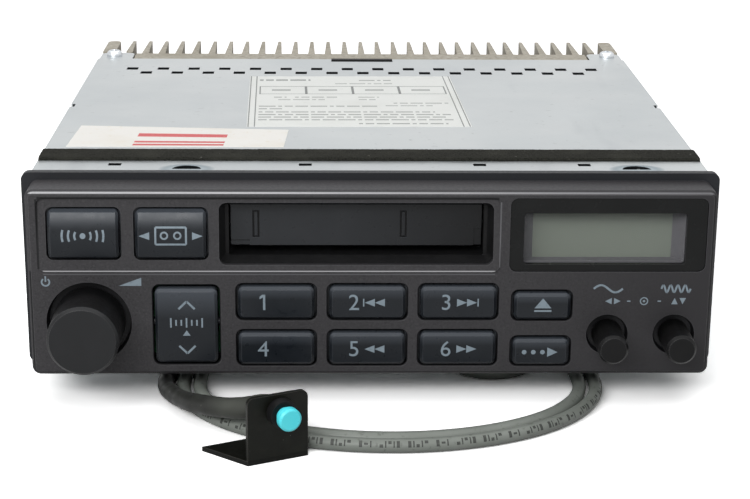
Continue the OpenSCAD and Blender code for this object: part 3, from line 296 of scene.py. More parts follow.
def bezel_look():
    left, right = PANEL_X
    low, high = PANEL_Z
    k = Look("bezel_plastic", (58, 57, 59), 0.5).soften(0.12).gloss(0.25)
    k.tint(k.band(k.noise(0.28, 2), 0.5, 0.75), (70, 69, 71))
    k.tint(k.band(k.noise(0.26, 2), 0.48, 0.28), (48, 47, 49))
    # painted shade, darker towards the right
    k.tint(k.within(x=(55, None), soft=30), (46, 45, 47))
    # painted highlight along the edges
    k.tint(k.edge(0.3), (92, 92, 95))
    # painted shade on the sides of the openings: below the tilted panel, right of it and in it; then the
    # flange, painted darker
    k.tint(k.within(y=WELL_Y, x=(-NOSE_X, NOSE_X), z=(NOSE_Z[0], low)), WELL_SHADE_RGB)
    k.tint(k.within(y=WELL_Y, x=(right + 0.2, NOSE_X), z=(low, NOSE_Z[1])), WELL_SHADE_RGB)
    k.tint(k.within(y=PANEL_WELL_Y, x=(left, right + 0.2), z=(low, high)), WELL_SHADE_RGB)
    k.tint(k.within(y=(FLANGE_Y, None)), (31, 33, 37))
    # light on the upper edge of the nose, dimmer to the right
    k.tint(k.within(y=(-12, -7), z=(23.6, None), soft=2.0), (62, 62, 65))
    shine = k.within(y=(-12.42, -12.12), z=(23.0, None), soft=0.06)
    k.tint(shine, (120, 120, 123))
    k.tint(k.times(shine, k.within(x=(None, 25), soft=60)), (196, 196, 199))
    # painted shade along the left and upper edges of the panel, and painted highlights along its right and
    # lower edges
    k.tint(k.within(x=(left - 0.2, left + 0.4), y=(None, -11.0), z=(3.0, 21.7)), STEP_SHADE_RGB)
    k.tint(k.within(x=(left + 0.4, right - 0.6), y=(None, -11.0), z=(21.5, 22.3)), STEP_SHADE_RGB)
    k.tint(k.within(x=(right - 0.2, right + 0.1), y=(None, -11.5), z=(3.5, 21)), (108, 108, 111))
    k.tint(k.within(x=(left + 1.2, right - 1.2), y=(None, -12.6), z=(2.35, 2.75)), (170, 170, 173))
    k.tint(k.within(x=(left + 1.2, right - 1.2), y=(None, -12.6), z=(1.45, 1.8)), (92, 92, 95))
    k.roughness(k.noise(0.5, 3), 0.44, 0.58)
    return k.bump(k.noise(0.3, 2), 0.02, 0.4).mat


def key_look():
    """Dark key, with painted light towards its top and painted highlights on its edges."""
    k = Look("key_plastic", (21, 25, 30), 0.3).soften(0.25).gloss(0.26)
    k.tint(k.band(k.noise(4), 0.35, 0.7), (25, 29, 34))
    # painted light, paler towards the top
    k.tint(k.band(k.share("Z"), 0.6, 1.0), (72, 77, 84))
    # painted highlight on the edges
    k.tint(k.edge(0.35), (84, 89, 96))
    k.roughness(k.noise(1.2), 0.26, 0.36)
    return k.bump(k.noise(0.25), 0.006, 0.4).mat


def door_look():
    """Dark door, with painted shade towards the right and painted highlights on its edges."""
    k = Look("door_plastic", (42, 44, 47), 0.3).soften(0.2).gloss(0.22)
    k.tint(k.band(k.noise(5), 0.35, 0.7), (47, 49, 52))
    # painted shade, darker towards the right
    k.tint(k.within(x=(10, None), soft=18), (12, 13, 15))
    # painted highlight on the edges
    k.tint(k.edge(0.25), (66, 68, 70))
    k.roughness(k.noise(1.2), 0.26, 0.36)
    return k.bump(k.noise(0.25), 0.006, 0.4).mat


def knob_look(name, rgb, gloss):
    k = Look(name, rgb, 0.32).soften(0.25).gloss(gloss)
    k.tint(k.band(k.noise(3), 0.4, 0.75), lift(rgb, 5))
    # painted shade on the side of the knob, back from its face
    k.tint(k.band(k.share("Y"), 0.05, 0.12), tuple(c // 2 for c in rgb))
    # painted highlight on the edges
    k.tint(k.edge(0.25, 0.05, 0.28), (112, 112, 113))
    k.roughness(k.noise(0.8), 0.28, 0.4)
    return k.bump(k.noise(0.3), 0.008, 0.4).mat


def moulded_look(name, rgb, rough, gloss=0.2):
    k = Look(name, rgb, rough).soften(0.12).gloss(gloss)
    k.tint(k.band(k.noise(0.4, 3), 0.5, 0.8), lift(rgb, 8))
    k.roughness(k.noise(1.5), rough - 0.06, rough + 0.1)
    return k.bump(k.noise(0.4), 0.012, 0.5).mat


def mask_look():
    k = Look("mask_plastic", (17, 18, 18), 0.24).soften(0.15).gloss(0.17)
    k.tint(k.band(k.noise(6), 0.4, 0.8), (24, 25, 25))
    # painted highlight on the edges
    k.tint(k.edge(0.2), (72, 72, 73))
    k.roughness(k.noise(2), 0.18, 0.3)
    return k.bump(k.noise(0.6), 0.004, 0.3).mat


def shroud_look():
    k = Look("shroud_plastic", (98, 96, 101), 0.5).soften(0.1).gloss(0.25)
    k.tint(k.band(k.noise(0.6), 0.4, 0.8), (106, 104, 109))
    # painted highlight on the edges
    k.tint(k.edge(0.2), (128, 126, 130))
    k.roughness(k.noise(0.8), 0.44, 0.56)
    return k.bump(k.noise(0.3), 0.01, 0.4).mat


def lcd_look():
    k = Look("lcd_glass", (131, 138, 127), 0.42).gloss(0.2)
    k.tint(k.band(k.noise(14, 1), 0.35, 0.7), (126, 133, 122))
    k.roughness(k.noise(6), 0.36, 0.46)
    return k.bump(k.noise(9, 1), 0.01, 0.3).mat


def lens_look():
    k = Look("clear_lens", (170, 176, 176), 0.08).put("Alpha", 0.05)
    k.roughness(k.noise(4), 0.05, 0.12)
    return k.mat


MOON_X, MOON_Y, COVER_X = (-48.7, 70.4), 5.0, 88.6


def zinc_look(name, cover=False):
    """Zinc-coated sheet; on the cover, painted shade round the half moons at its front and on the sides in
    its slots.
    """
    k = Look(name, (188, 193, 195), 0.38, metallic=0.7).soften(0.1)
    k.tint(k.band(k.noise(26, 4), 0.4, 0.68), (198, 202, 203))
    k.tint(k.band(k.noise(7, 4, (1, 0.25, 1)), 0.58, 0.8), (178, 183, 186))
    k.tint(k.band(k.noise(1.1, 3), 0.66, 0.8), (170, 174, 175))
    if cover:
        # painted shade round each half moon, darker at its outer rim
        for x in MOON_X:
            k.tint(k.spot(x, MOON_Y, 6.6, 4.6, 0.15), (126, 140, 148))
            k.tint(k.spot(x, MOON_Y - 0.3, 5.6, 3.9, 0.25), (164, 175, 181))
        # painted shade on the sides in the slots, below the cover's upper side
        k.tint(k.within(x=(-COVER_X, COVER_X), z=(None, TOP_Z - 0.1)), (38, 40, 42))
    k.roughness(k.noise(9, 4), 0.32, 0.46)
    return k.bump(k.noise(3, 3, (1, 0.2, 1)), 0.012, 0.35).mat


NOTCH_X, NOTCH_Y, NOTCH_Z = 10.3, 152.2, 20


def sink_look():
    """Rough casting, with painted black shade in the notch at the rear of the cover."""
    k = Look("cast_aluminium", (164, 158, 145), 0.62, metallic=0.35).soften(0.15)
    k.tint(k.band(k.noise(0.6, 4), 0.45, 0.75), (188, 183, 171))
    k.tint(k.band(k.noise(0.9, 4), 0.46, 0.25), (122, 116, 103))
    k.tint(k.band(k.noise(8), 0.5, 0.75), (150, 144, 129))
    # painted shade, black in the notch
    k.tint(k.within(x=(-NOTCH_X, NOTCH_X), y=(None, NOTCH_Y), z=(NOTCH_Z, None)), (12, 12, 12))
    return k.bump(k.noise(0.5, 4), 0.06, 0.6).mat


def metal_look(name, rgb, rough, grain=(1, 1, 1)):
    k = Look(name, rgb, rough, metallic=1.0).soften(0.1)
    k.tint(k.band(k.noise(2, 3, grain), 0.4, 0.75), lift(rgb, -24))
    k.roughness(k.noise(1.5, 3, grain), rough - 0.08, rough + 0.1)
    return k.bump(k.noise(0.8, 3, grain), 0.008, 0.4).mat


def foam_look():
    k = Look("foam", (44, 44, 40), 0.95).gloss(0.1)
    k.tint(k.band(k.cells(0.55), 0.5, 0.15), (22, 22, 20))
    k.tint(k.band(k.noise(5, 3), 0.5, 0.75), (54, 54, 49))
    k.tint(k.band(k.noise(0.6, 2), 0.72, 0.8), (104, 103, 98))
    return k.bump(k.cells(0.5), 0.25, 0.8).mat


def cable_look():
    k = Look("cable_jacket", (126, 131, 125), 0.42).gloss(0.35)
    k.tint(k.band(k.noise(6, 3), 0.4, 0.75), (136, 141, 135))
    k.tint(k.band(k.noise(0.7, 3), 0.6, 0.8), (94, 98, 92))
    k.roughness(k.noise(2), 0.34, 0.5)
    return k.bump(k.noise(1.2, 3), 0.02, 0.5).mat


def sleeve_look():
    k = Look("shrink_sleeve", (40, 41, 39), 0.46).gloss(0.25)
    k.tint(k.band(k.noise(2.2, 3), 0.45, 0.75), (50, 51, 48))
    k.tint(k.band(k.noise(0.4, 2), 0.68, 0.78), (76, 77, 74))
    k.tint(k.within(x=(-40, None), soft=2.5), (66, 68, 63))
    k.roughness(k.noise(1.5), 0.36, 0.56)
    return k.bump(k.noise(0.8, 3), 0.04, 0.6).mat


def bracket_look():
    k = Look("black_steel", (15, 16, 12), 0.42).soften(0.2).gloss(0.16)
    k.tint(k.band(k.noise(1.6, 4), 0.5, 0.8), (24, 25, 20))
    k.tint(k.band(k.noise(0.5, 2), 0.74, 0.8), (104, 102, 96))
    # painted shade on the foot by the floor
    k.tint(k.within(z=(None, GROUND_Z + 1.4)), (7, 8, 5))
    k.tint(k.edge(0.25, 0.05, 0.4), (92, 90, 85))
    k.roughness(k.noise(1.2, 3), 0.32, 0.5)
    return k.bump(k.noise(0.6, 3), 0.03, 0.5).mat


def cap_look():
    k = Look("cyan_plastic", (90, 242, 255), 0.38).soften(0.35)
    k.tint(k.band(k.noise(2, 2), 0.45, 0.8), (100, 246, 255))
    k.tint(k.band(k.noise(0.5, 2), 0.74, 0.78), (30, 110, 130))
    k.tint(k.edge(0.3, 0.05, 0.4), (120, 228, 244))
    k.roughness(k.noise(1), 0.32, 0.46)
    return k.bump(k.noise(0.5), 0.01, 0.4).mat


def board_look():
    k = Look("circuit_board", (38, 104, 66), 0.4).soften(0.1)
    k.tint(k.band(k.noise(3, 3, (1, 4, 1)), 0.5, 0.56), (60, 132, 84))
    k.tint(k.band(k.cells(3.2), 0.16, 0.1), (190, 176, 120))
    k.roughness(k.noise(3), 0.32, 0.5)
    return k.bump(k.noise(3, 3, (1, 4, 1)), 0.02, 0.5).mat


def paper_look(name, rgb, dirt):
    k = Look(name, rgb, 0.62)
    k.tint(k.band(k.noise(11, 4), 0.5, 0.8), dirt)
    k.tint(k.band(k.noise(0.8, 3), 0.62, 0.8), dirt)
    k.roughness(k.noise(3), 0.54, 0.7)
    return k.bump(k.noise(2, 3), 0.01, 0.4).mat


def ink_look(name, rgb, worn):
    k = Look(name, rgb, 0.55)
    k.tint(k.band(k.noise(0.5, 3), 0.55, 0.8), worn)
    return k.bump(k.noise(0.3), 0.004, 0.3).mat


KEY, ZINC = key_look(), zinc_look("zinc_steel")
KNOB = knob_look("knob_plastic", (24, 25, 27), 0.28)
SMALL_KNOB = knob_look("small_knob_plastic", (10, 10, 11), 0.18)
BLACK = moulded_look("black_plastic", (14, 14, 15), 0.5)
RUBBER = moulded_look("black_rubber", (24, 24, 25), 0.68)
STEEL = metal_look("deck_steel", (176, 178, 180), 0.34, (1, 6, 1))
CONTROL = metal_look("control_metal", (168, 170, 174), 0.38)
HEAD = metal_look("head_metal", (206, 202, 192), 0.2)
BRASS = metal_look("brass", (196, 172, 112), 0.28)
SCREW = metal_look("screw_steel", (214, 218, 222), 0.24)
WHITE = moulded_look("white_plastic", (206, 203, 192), 0.45, gloss=0.4)
BOARD, CABLE, BRACKET = board_look(), cable_look(), bracket_look()
LEGEND = ink_look("legend_ink", (134, 148, 158), (114, 127, 136))
DARK_INK = ink_look("dark_ink", (128, 131, 130), (152, 154, 152))
PALE_INK = ink_look("pale_ink", (158, 161, 159), (176, 178, 176))
RED_INK = ink_look("red_ink", (210, 92, 94), (222, 132, 128))
MARK_INK = ink_look("mark_ink", (54, 57, 53), (84, 88, 82))

NODE_LOOKS = {
    "front_bezel": bezel_look(), "display_mask": mask_look(), "display_lens": lens_look(),
    "display_shroud": shroud_look(), "lcd_panel": lcd_look(), "front_circuit_board": BOARD,
    "main_circuit_board": BOARD, "key_switches": BLACK, "power_amplifiers": BLACK,
    "cassette_guide": BLACK, "cassette_door": door_look(),
    "volume_knob": KNOB, "bass_knob": SMALL_KNOB, "treble_knob": SMALL_KNOB,
    "front_plate": ZINC, "case_tray": ZINC, "top_cover": zinc_look("cover_steel", cover=True),
    "heat_sink": sink_look(),
    "cover_screws": SCREW, "deck_plate": STEEL, "cassette_carriage": STEEL, "head_plate": STEEL,
    "tape_head": HEAD, "pinch_roller_front": RUBBER, "pinch_roller_rear": RUBBER,
    "drive_belt": RUBBER, "cable_grommet": RUBBER, "flywheel_front": BRASS, "flywheel_rear": BRASS,
    "motor_pulley": BRASS, "reel_hub_front": WHITE, "reel_hub_rear": WHITE, "wiring_socket": WHITE,
    "button_bracket": BRACKET, "remote_switch": BLACK, "remote_button": cap_look(),
}
NODE_LOOKS |= dict.fromkeys(("volume_control", "volume_shaft", "bass_control", "bass_sleeve",
                             "treble_control", "treble_sleeve", "deck_motor", "aerial_socket"), CONTROL)
NODE_LOOKS |= dict.fromkeys(("band_button", "tape_button", "tune_rocker", "eject_button",
                             "scan_button"), KEY)
NODE_LOOKS |= {f"preset_button_{number}": KEY for number in range(1, 7)}

# The nodes that aren't named above are replaced by softer pieces below.
for name, obj in NODES.items():
    obj.data.materials.clear()
    obj.data.materials.append(NODE_LOOKS.get(name, RUBBER))

# Cable
# The route repeats the points of the part's source. A round cable lies with its middle one radius up.
CABLE_R, SLEEVE_R = 1.85, 2.3
CABLE_SIDES, SLEEVE_SIDES = 16, 24
CURVE_STEPS = 5
LIE_CAD = 1.48  # how high the source's cable lies
# The loops' middle, half width and reach to the front and rear; how far they close in with each turn,
# and the first and last angle
LOOP_X, LOOP_Y, LOOP_A, LOOP_FRONT, LOOP_REAR = 4.2, -1.5, 58.7, 45.5, 105.0
LOOP_PITCH, LOOP_T0, LOOP_T1, LOOP_STEPS = 4.4, 175.0, -675.0, 340
OUTLET = (5.0, 154.2, -14.0)
OUTLET_AHEAD = (5.0, 157.9, -14.0)
TAIL_XYH = [
    (41.8, 57.1, 0), (42.6, 48, 0), (43.1, 36, 0), (44.3, 25.6, 0), (45, 14.9, 0), (40.9, 8.5, 0),
    (33.5, 6.1, 0), (27.1, 8.5, 0), (22.7, 15.7, 0), (22, 25, 0), (18.6, 36, 0), (14, 50, 0),
    (8.6, 64, 0.4), (2.6, 76.5, 2.6), (-3, 86, 4.6), (-6.6, 94, 5), (-9, 102, 5), (-11, 111, 3),
    (-13, 121, 0.6), (-16, 133, 0), (-20, 146, 0), (-24, 158, 0.2), (-25, 167, 1.6), (-21, 175, 5),
    (-13, 179, 9.5), (-4, 176.1, 14), (2.2, 170.4, 17.5), (4.9, 163, 19)]
SLEEVE_FOLD, SLEEVE_SWELL, SLEEVE_TAPER, SLEEVE_BULGE, SLEEVE_LIP = 0.12, 0.6, 0.6, 0.6, 0.2
SLEEVE_LEAD, SLEEVE_EASE = 1.92, 20.0
SWITCH_END = Vector((-25.037, -44.147, -22.4))
SWITCH_DIR = Vector((-0.416281, 0.909236, 0))
SLEEVE_XYH = [(-29.6, -37.2, 9.8), (-33.6, -35, 8.4), (-38.2, -32.6, 7.6), (-42.9, -29, 6.8),
              (-47.4, -23.2, 5.4), (-51.2, -15.6, 3.9), (-53.9, -8, 2.8), (-54.9, -1.7, 2.4)]


def loop_point(t):
    s = LOOP_PITCH * (LOOP_T0 - t) / 360
    c, n = math.cos(math.radians(t)), math.sin(math.radians(t))
    reach = LOOP_FRONT if n < 0 else LOOP_REAR
    return Vector((LOOP_X + (LOOP_A - s) * c, LOOP_Y + (reach - s) * n, GROUND_Z + LIE_CAD))


def on_floor(p, radius):
    return Vector((p[0], p[1], max(p[2], GROUND_Z + radius)))


loops = [loop_point(LOOP_T0 + (LOOP_T1 - LOOP_T0) * i / LOOP_STEPS) for i in range(LOOP_STEPS + 1)]
loop_out = (loops[-1] - loops[-2]).normalized()
loop_in = (loops[1] - loops[0]).normalized()
tail = along([loops[-1], loops[-1] + loop_out * 2 * CABLE_R]
             + [(x, y, GROUND_Z + LIE_CAD + h) for x, y, h in TAIL_XYH]
             + [OUTLET_AHEAD, OUTLET], CURVE_STEPS)
sleeve_path = [on_floor(p, SLEEVE_R + SLEEVE_FOLD) for p in along(
    [SWITCH_END, SWITCH_END + SWITCH_DIR * SLEEVE_LEAD * SLEEVE_R - UP * (SLEEVE_R / 2)]
    + [(x, y, GROUND_Z + h) for x, y, h in SLEEVE_XYH]
    + [loops[0] - loop_in * 2 * SLEEVE_R, loops[0]], CURVE_STEPS)]
lifted = sleeve_path[-1].z - GROUND_Z - CABLE_R
route = [on_floor(p, CABLE_R + lifted * max(0, 1 - (p - loops[0]).length / SLEEVE_EASE))
         for p in tail[::-1] + loops[-2::-1]] + sleeve_path[-2::-1]

cable = tube("remote_cable", route, lambda i, a: CABLE_R, CABLE_SIDES, CABLE)
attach(cable, "radio")
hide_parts("remote_cable_coil", "remote_cable_tail")


def sleeve_radius(i, a):
    """Wide over the switch, with a thin lip at its far end and wrinkles all along."""
    p = sleeve_path[i]
    ripple = noise.noise(Vector((p.x * 0.5, p.y * 0.5, a * 0.6)))
    fold = noise.noise(Vector((i * 0.8, a * 0.9, 7.0)))
    k = i / (len(sleeve_path) - 1)
    swell = SLEEVE_SWELL * max(0, 1 - k / SLEEVE_TAPER) ** SLEEVE_BULGE
    lip = -SLEEVE_LIP if k == 1 else 0
    return SLEEVE_R + swell + lip + min(0.13 * ripple + 0.1 * fold, SLEEVE_FOLD)


sleeve = tube("shrink_sleeve", sleeve_path, sleeve_radius, SLEEVE_SIDES, sleeve_look())
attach(sleeve, "radio")
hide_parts("cable_sleeve")

# Each mark's length, and the angles round the cable from which and to which it goes; length 0 is a space
MARKS = [
    (0.8, 8, 60), (0.35, 8, 60), (0.8, 36, 60), (0.35, 8, 60), (0.9, 8, 32), (0, 0, 0),
    (0.35, 8, 60), (1.0, 26, 42), (0.8, 8, 60), (0, 0, 0),
    (0.9, 36, 60), (0.35, 8, 60), (0.8, 8, 32), (0.35, 8, 60), (0.8, 8, 60), (0, 0, 0)]
MARK_GAP, MARK_SPACE, MARK_RISE, MARK_ARCS = 0.45, 1.5, 0.03, 4
MARKED_POINTS = 144


def cable_marks():
    """One row of short plain strokes on the upper outer side of the front loop."""
    line = [on_floor(p, CABLE_R) for p in loops[:MARKED_POINTS]]
    verts, faces = [], []
    i, at, step = 1, 0.0, 0
    while i < len(line) - 1:
        long, low, high = MARKS[step % len(MARKS)]
        step += 1
        while i < len(line) - 1 and at > (line[i + 1] - line[i]).length:
            at -= (line[i + 1] - line[i]).length
            i += 1
        if not long:
            at += MARK_SPACE
            continue
        ahead = (line[min(i + 1, len(line) - 1)] - line[i]).normalized()
        side = UP.cross(ahead)
        base = len(verts)
        for k in range(MARK_ARCS + 1):
            a = math.radians(low + (high - low) * k / MARK_ARCS)
            out = (side * math.cos(a) + UP * math.sin(a)) * (CABLE_R + MARK_RISE)
            verts += [line[i] + ahead * at + out, line[i] + ahead * (at + long) + out]
        faces += [(base + 2 * k, base + 2 * k + 1, base + 2 * k + 3, base + 2 * k + 2)
                  for k in range(MARK_ARCS)]
        at += long + MARK_GAP
    return add_mesh("cable_marks", verts, faces, MARK_INK, smooth=True)


marks = cable_marks()
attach(marks, "radio")

# Foam strip
FOAM_X, FOAM_Y, FOAM_W, FOAM_H = 88.8, 13.4, 10.0, 1.0
FOAM_STEPS = 420
FOAM_PROFILE = [(0.0, 0.0), (0.0, 0.5), (0.015, 0.8), (0.04, 0.96)] + [
    (0.08 + 0.06 * i, 1.0) for i in range(15)] + [(0.96, 0.96), (0.985, 0.8), (1.0, 0.5), (1.0, 0.0)]
FOAM_RAG = ((1.9, 0.22), (0.3, 0.2))  # waves per millimetre and size of the uneven edge
FOAM_SINK, FOAM_PIT, FOAM_SHAKE = 0.06, 0.5, 0.12


def make_foam():
    """Strip with ragged edges, no longer or higher than its solid."""
    verts = []
    for i in range(FOAM_STEPS + 1):
        x = -FOAM_X + 2 * FOAM_X * i / FOAM_STEPS
        for py, pz in FOAM_PROFILE:
            p = Vector((x, FOAM_Y + py * FOAM_W, TOP_Z + pz * FOAM_H))
            if pz > 0:
                rag = sum(noise.noise(p * often) * size for often, size in FOAM_RAG)
                if pz > 0.9:
                    p.z -= FOAM_SINK + FOAM_PIT * abs(rag)
                p.y += rag if pz < 1 else rag * 0.4
                p.x += noise.noise(p * 2.3 + Vector((9, 0, 0))) * FOAM_SHAKE
            p.x = max(-FOAM_X, min(FOAM_X, p.x))
            verts.append(p)
    return add_mesh("foam_tape", verts, skin(FOAM_STEPS + 1, len(FOAM_PROFILE)), foam_look(), smooth=True)


foam = make_foam()
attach(foam, "radio")
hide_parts("foam_strip")

# Cover screws
SCREW_X, SCREW_Y, SCREW_R, SCREW_H = 84.0, 155.0, 2.6, 2.0
SCREW_SIDES = 48
CROSS_L, CROSS_W, CROSS_D, CROSS_TAPER, CROSS_TURN = 1.5, 0.32, 1.0, 0.55, 0.5
HEAD_PROFILE = [(1.0, 0.0), (1.0, 0.3), (0.96, 0.52), (0.86, 0.74), (0.7, 0.9), (0.5, 0.98)]


def make_screw(x):
    """Pan head with a cross recess."""
    verts = []
    for r, h in HEAD_PROFILE:
        for k in range(SCREW_SIDES):
            a = 2 * math.pi * k / SCREW_SIDES
            verts.append((x + SCREW_R * r * math.cos(a), SCREW_Y + SCREW_R * r * math.sin(a),
                          TOP_Z + SCREW_H * h))
    head = add_mesh(f"cover_screw_{'left' if x < 0 else 'right'}", verts,
                    skin(len(HEAD_PROFILE), SCREW_SIDES), SCREW)
    cutters = []
    for turn in (CROSS_TURN, CROSS_TURN + math.pi / 2):
        c, s = math.cos(turn), math.sin(turn)
        box = []
        for height, wide in ((SCREW_H * HEAD_PROFILE[-1][1] - CROSS_D, CROSS_TAPER), (SCREW_H + 1, 1.0)):
            for l, w in SQUARE:
                u, v = l * CROSS_L * wide, w * CROSS_W
                box.append((x + u * c - v * s, SCREW_Y + u * s + v * c, TOP_Z + height))
        cutters.append(add_mesh("cut", box, skin(2, len(SQUARE)), SCREW))
    for cutter in cutters:
        cut = head.modifiers.new("cross", "BOOLEAN")
        cut.operation = "DIFFERENCE"
        cut.solver = "EXACT"
        cut.object = cutter
    bpy.context.view_layer.update()
    done = bpy.data.meshes.new_from_object(head.evaluated_get(bpy.context.evaluated_depsgraph_get()))
    head.modifiers.clear()
    head.data = done
    for cutter in cutters:
        bpy.data.objects.remove(cutter)
    return head


screws = [make_screw(x) for x in (-SCREW_X, SCREW_X)]
for screw in screws:
    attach(screw, "radio")
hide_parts("cover_screws")


# Printed marks
def bar(x, z, w, h):
    return [(x - w / 2, z - h / 2), (x + w / 2, z - h / 2), (x + w / 2, z + h / 2), (x - w / 2, z + h / 2)]


def arrow(x, z, w, h, way):
    """Triangle that points left, right, up or down."""
    if way in "lr":
        s = -1 if way == "l" else 1
        return [(x - s * w / 2, z - h / 2), (x + s * w / 2, z), (x - s * w / 2, z + h / 2)]
    s = -1 if way == "d" else 1
    return [(x - w / 2, z - s * h / 2), (x + w / 2, z - s * h / 2), (x, z + s * h / 2)]


STROKE_STEP = 0.6


def stroke(points, t):
    """Quads along a line of points."""
    out = []
    for (ax, az), (bx, bz) in zip(points, points[1:]):
        d = math.hypot(bx - ax, bz - az)
        nx, nz = -(bz - az) / d * t / 2, (bx - ax) / d * t / 2
        n = math.ceil(d / STROKE_STEP)
        cuts = [(ax + (bx - ax) * i / n, az + (bz - az) * i / n) for i in range(n + 1)]
        out += [[(px + nx, pz + nz), (px - nx, pz - nz), (qx - nx, qz - nz), (qx + nx, qz + nz)]
                for (px, pz), (qx, qz) in zip(cuts, cuts[1:])]
    return out


def arc(x, z, r, t, a0, a1, n=24):
    """Quads along part of a ring, between two angles in degrees."""
    at = [math.radians(a0 + (a1 - a0) * i / n) for i in range(n + 1)]
    inner, outer = r - t / 2, r + t / 2
    return [[(x + reach * math.cos(turn), z + reach * math.sin(turn))
             for reach, turn in ((inner, a), (outer, a), (outer, b), (inner, b))]
            for a, b in zip(at, at[1:])]


def disc(x, z, r, n=20):
    return [(x + r * math.cos(2 * math.pi * i / n), z + r * math.sin(2 * math.pi * i / n)) for i in range(n)]


def chevron(x, z, w, h, t, s):
    return stroke([(x - w / 2, z - s * h / 2), (x, z + s * h / 2), (x + w / 2, z - s * h / 2)], t)


def wave(x, z, w, h, turns, t):
    n = 16 * turns
    return stroke([(x - w / 2 + w * i / n, z + h / 2 * math.sin(2 * math.pi * turns * i / n))
                   for i in range(n + 1)], t)


ONE = [[(-0.01, -0.5), (0.13, -0.5), (0.13, 0.5), (-0.01, 0.5)],
       [(-0.01, 0.33), (-0.01, 0.5), (-0.05, 0.5), (-0.22, 0.36), (-0.22, 0.2)]]


def digit(number, x, z, h):
    """Polygons of one plain numeral, h high, centred on x and z."""
    if number == 1:
        return [[(x + h * u, z + h * v) for u, v in shape] for shape in ONE]
    curve = bpy.data.curves.new("digit", "FONT")
    curve.body = str(number)
    obj = bpy.data.objects.new("digit", curve)
    bpy.context.scene.collection.objects.link(obj)
    bpy.context.view_layer.update()
    mesh = bpy.data.meshes.new_from_object(obj.evaluated_get(bpy.context.evaluated_depsgraph_get()))
    xs = [v.co.x for v in mesh.vertices]
    ys = [v.co.y for v in mesh.vertices]
    k = h / (max(ys) - min(ys))
    mx, my = (max(xs) + min(xs)) / 2, (max(ys) + min(ys)) / 2
    out = [[(x + k * (mesh.vertices[i].co.x - mx), z + k * (mesh.vertices[i].co.y - my)) for i in f.vertices]
           for f in mesh.polygons]
    bpy.data.objects.remove(obj)
    bpy.data.meshes.remove(mesh)
    return out


def printed(name, polygons, depth, body, mat):
    """Thin ink: flat polygons in X and Z, laid on the surface y = depth(x, z)."""
    verts, faces = [], []
    for poly in polygons:
        base, n = len(verts), len(poly)
        for rise in (INK_T, -INK_T):
            verts += [(x, depth(x, z) - rise, z) for x, z in poly]
        faces += skin(2, n, base)
    obj = add_mesh(name, verts, faces, mat)
    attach(obj, body)
    return obj


def flat(y):
    return lambda x, z: y


CURVE_R, CURVE_Z, CURVE_Y = 18.0, 10.5, -14.5


def curved(x, z):
    """Front of the band and tape keys."""
    return CURVE_Y + CURVE_R - math.sqrt(CURVE_R ** 2 - (z - CURVE_Z) ** 2)


def key_ink(name, polygons, body, depth=None):
    return printed(name, polygons, depth or flat(KEY_Y), body, LEGEND)


DIGIT_H, SIGN_W, SIGN_H, SIGN_DX, SIGN_DZ = 4.2, 2.6, 2.1, 4.1, -0.1
PRESETS = {1: (-28.2, -5.6), 2: (-4.7, -5.6), 3: (19.2, -5.6),
           4: (-28.3, -18.4), 5: (-4.7, -18.4), 6: (19.3, -18.4)}
SIGNS = {2: "l", 3: "r", 5: "l", 6: "r"}
STOP_T, STOP_DX = 0.35, {2: 2.5, 3: 8.3}
for number, (x, z) in PRESETS.items():
    shapes = digit(number, x, z, DIGIT_H)
    if number in SIGNS:
        shapes += [arrow(x + SIGN_DX + SIGN_W * i, z + SIGN_DZ, SIGN_W, SIGN_H, SIGNS[number])
                   for i in (0, 1)]
    if number in STOP_DX:
        shapes.append(bar(x + STOP_DX[number], z + SIGN_DZ, STOP_T, SIGN_H))
    key_ink(f"preset_legend_{number}", shapes, f"preset_{number}")

SOURCE_Z = 12.4
BAND_X, BAND_DOT, BAND_T = -74, 0.75, 0.55
band = [disc(BAND_X, SOURCE_Z, BAND_DOT)]
for reach in (2.1, 3.7, 5.3):
    half = 38 - 4 * reach
    for a in (0, 180):
        band += arc(BAND_X, SOURCE_Z, reach, BAND_T, a - half, a + half)
key_ink("band_legend", band, "band_key", curved)

TAPE_X, TAPE_W, TAPE_H, TAPE_T = -51.6, 7.8, 4.4, 0.5
REEL_DX, REEL_Z, REEL_R, REEL_T = 1.7, 12.5, 0.85, 0.45
reels = []
for dx in (-REEL_DX, REEL_DX):
    reels += arc(TAPE_X + dx, REEL_Z, REEL_R, REEL_T, 0, 360)
shell = bar(TAPE_X, SOURCE_Z, TAPE_W, TAPE_H)
ways = [arrow(TAPE_X + dx, SOURCE_Z, 2.7, 2.0, way) for dx, way in ((-6.8, "l"), (6.8, "r"))]
key_ink("tape_legend", reels + stroke(shell + shell[:1], TAPE_T) + ways, "tape_key", curved)

ROCKER_X, TICK_X = -48.0, -48.1
ticks = [bar(TICK_X + 1.35 * i, -11.2, 0.42, 2.6 if i % 3 == 0 else 1.6) for i in range(-3, 4)]
ends = chevron(ROCKER_X, -6.4, 4.2, 2.1, 0.55, 1) + chevron(ROCKER_X, -18.6, 4.2, 2.1, 0.55, -1)
key_ink("rocker_legend", ends + ticks + [arrow(TICK_X, -14.0, 2.0, 1.5, "u")], "rocker")

EJECT_X, SCAN_Z = 44.4, -19.4
key_ink("eject_legend", [arrow(EJECT_X, -5.9, 4.4, 2.7, "u"), bar(EJECT_X, -8.0, 4.5, 0.45)], "eject_key")
dots = [disc(39.9 + 2.4 * i, SCAN_Z, 0.62) for i in range(3)]
key_ink("scan_legend", dots + [arrow(47.3, SCAN_Z, 2.7, 2.6, "r")], "scan_key")


def face_ink(name, polygons):
    return printed(name, polygons, flat(FACE_Y), "radio", LEGEND)


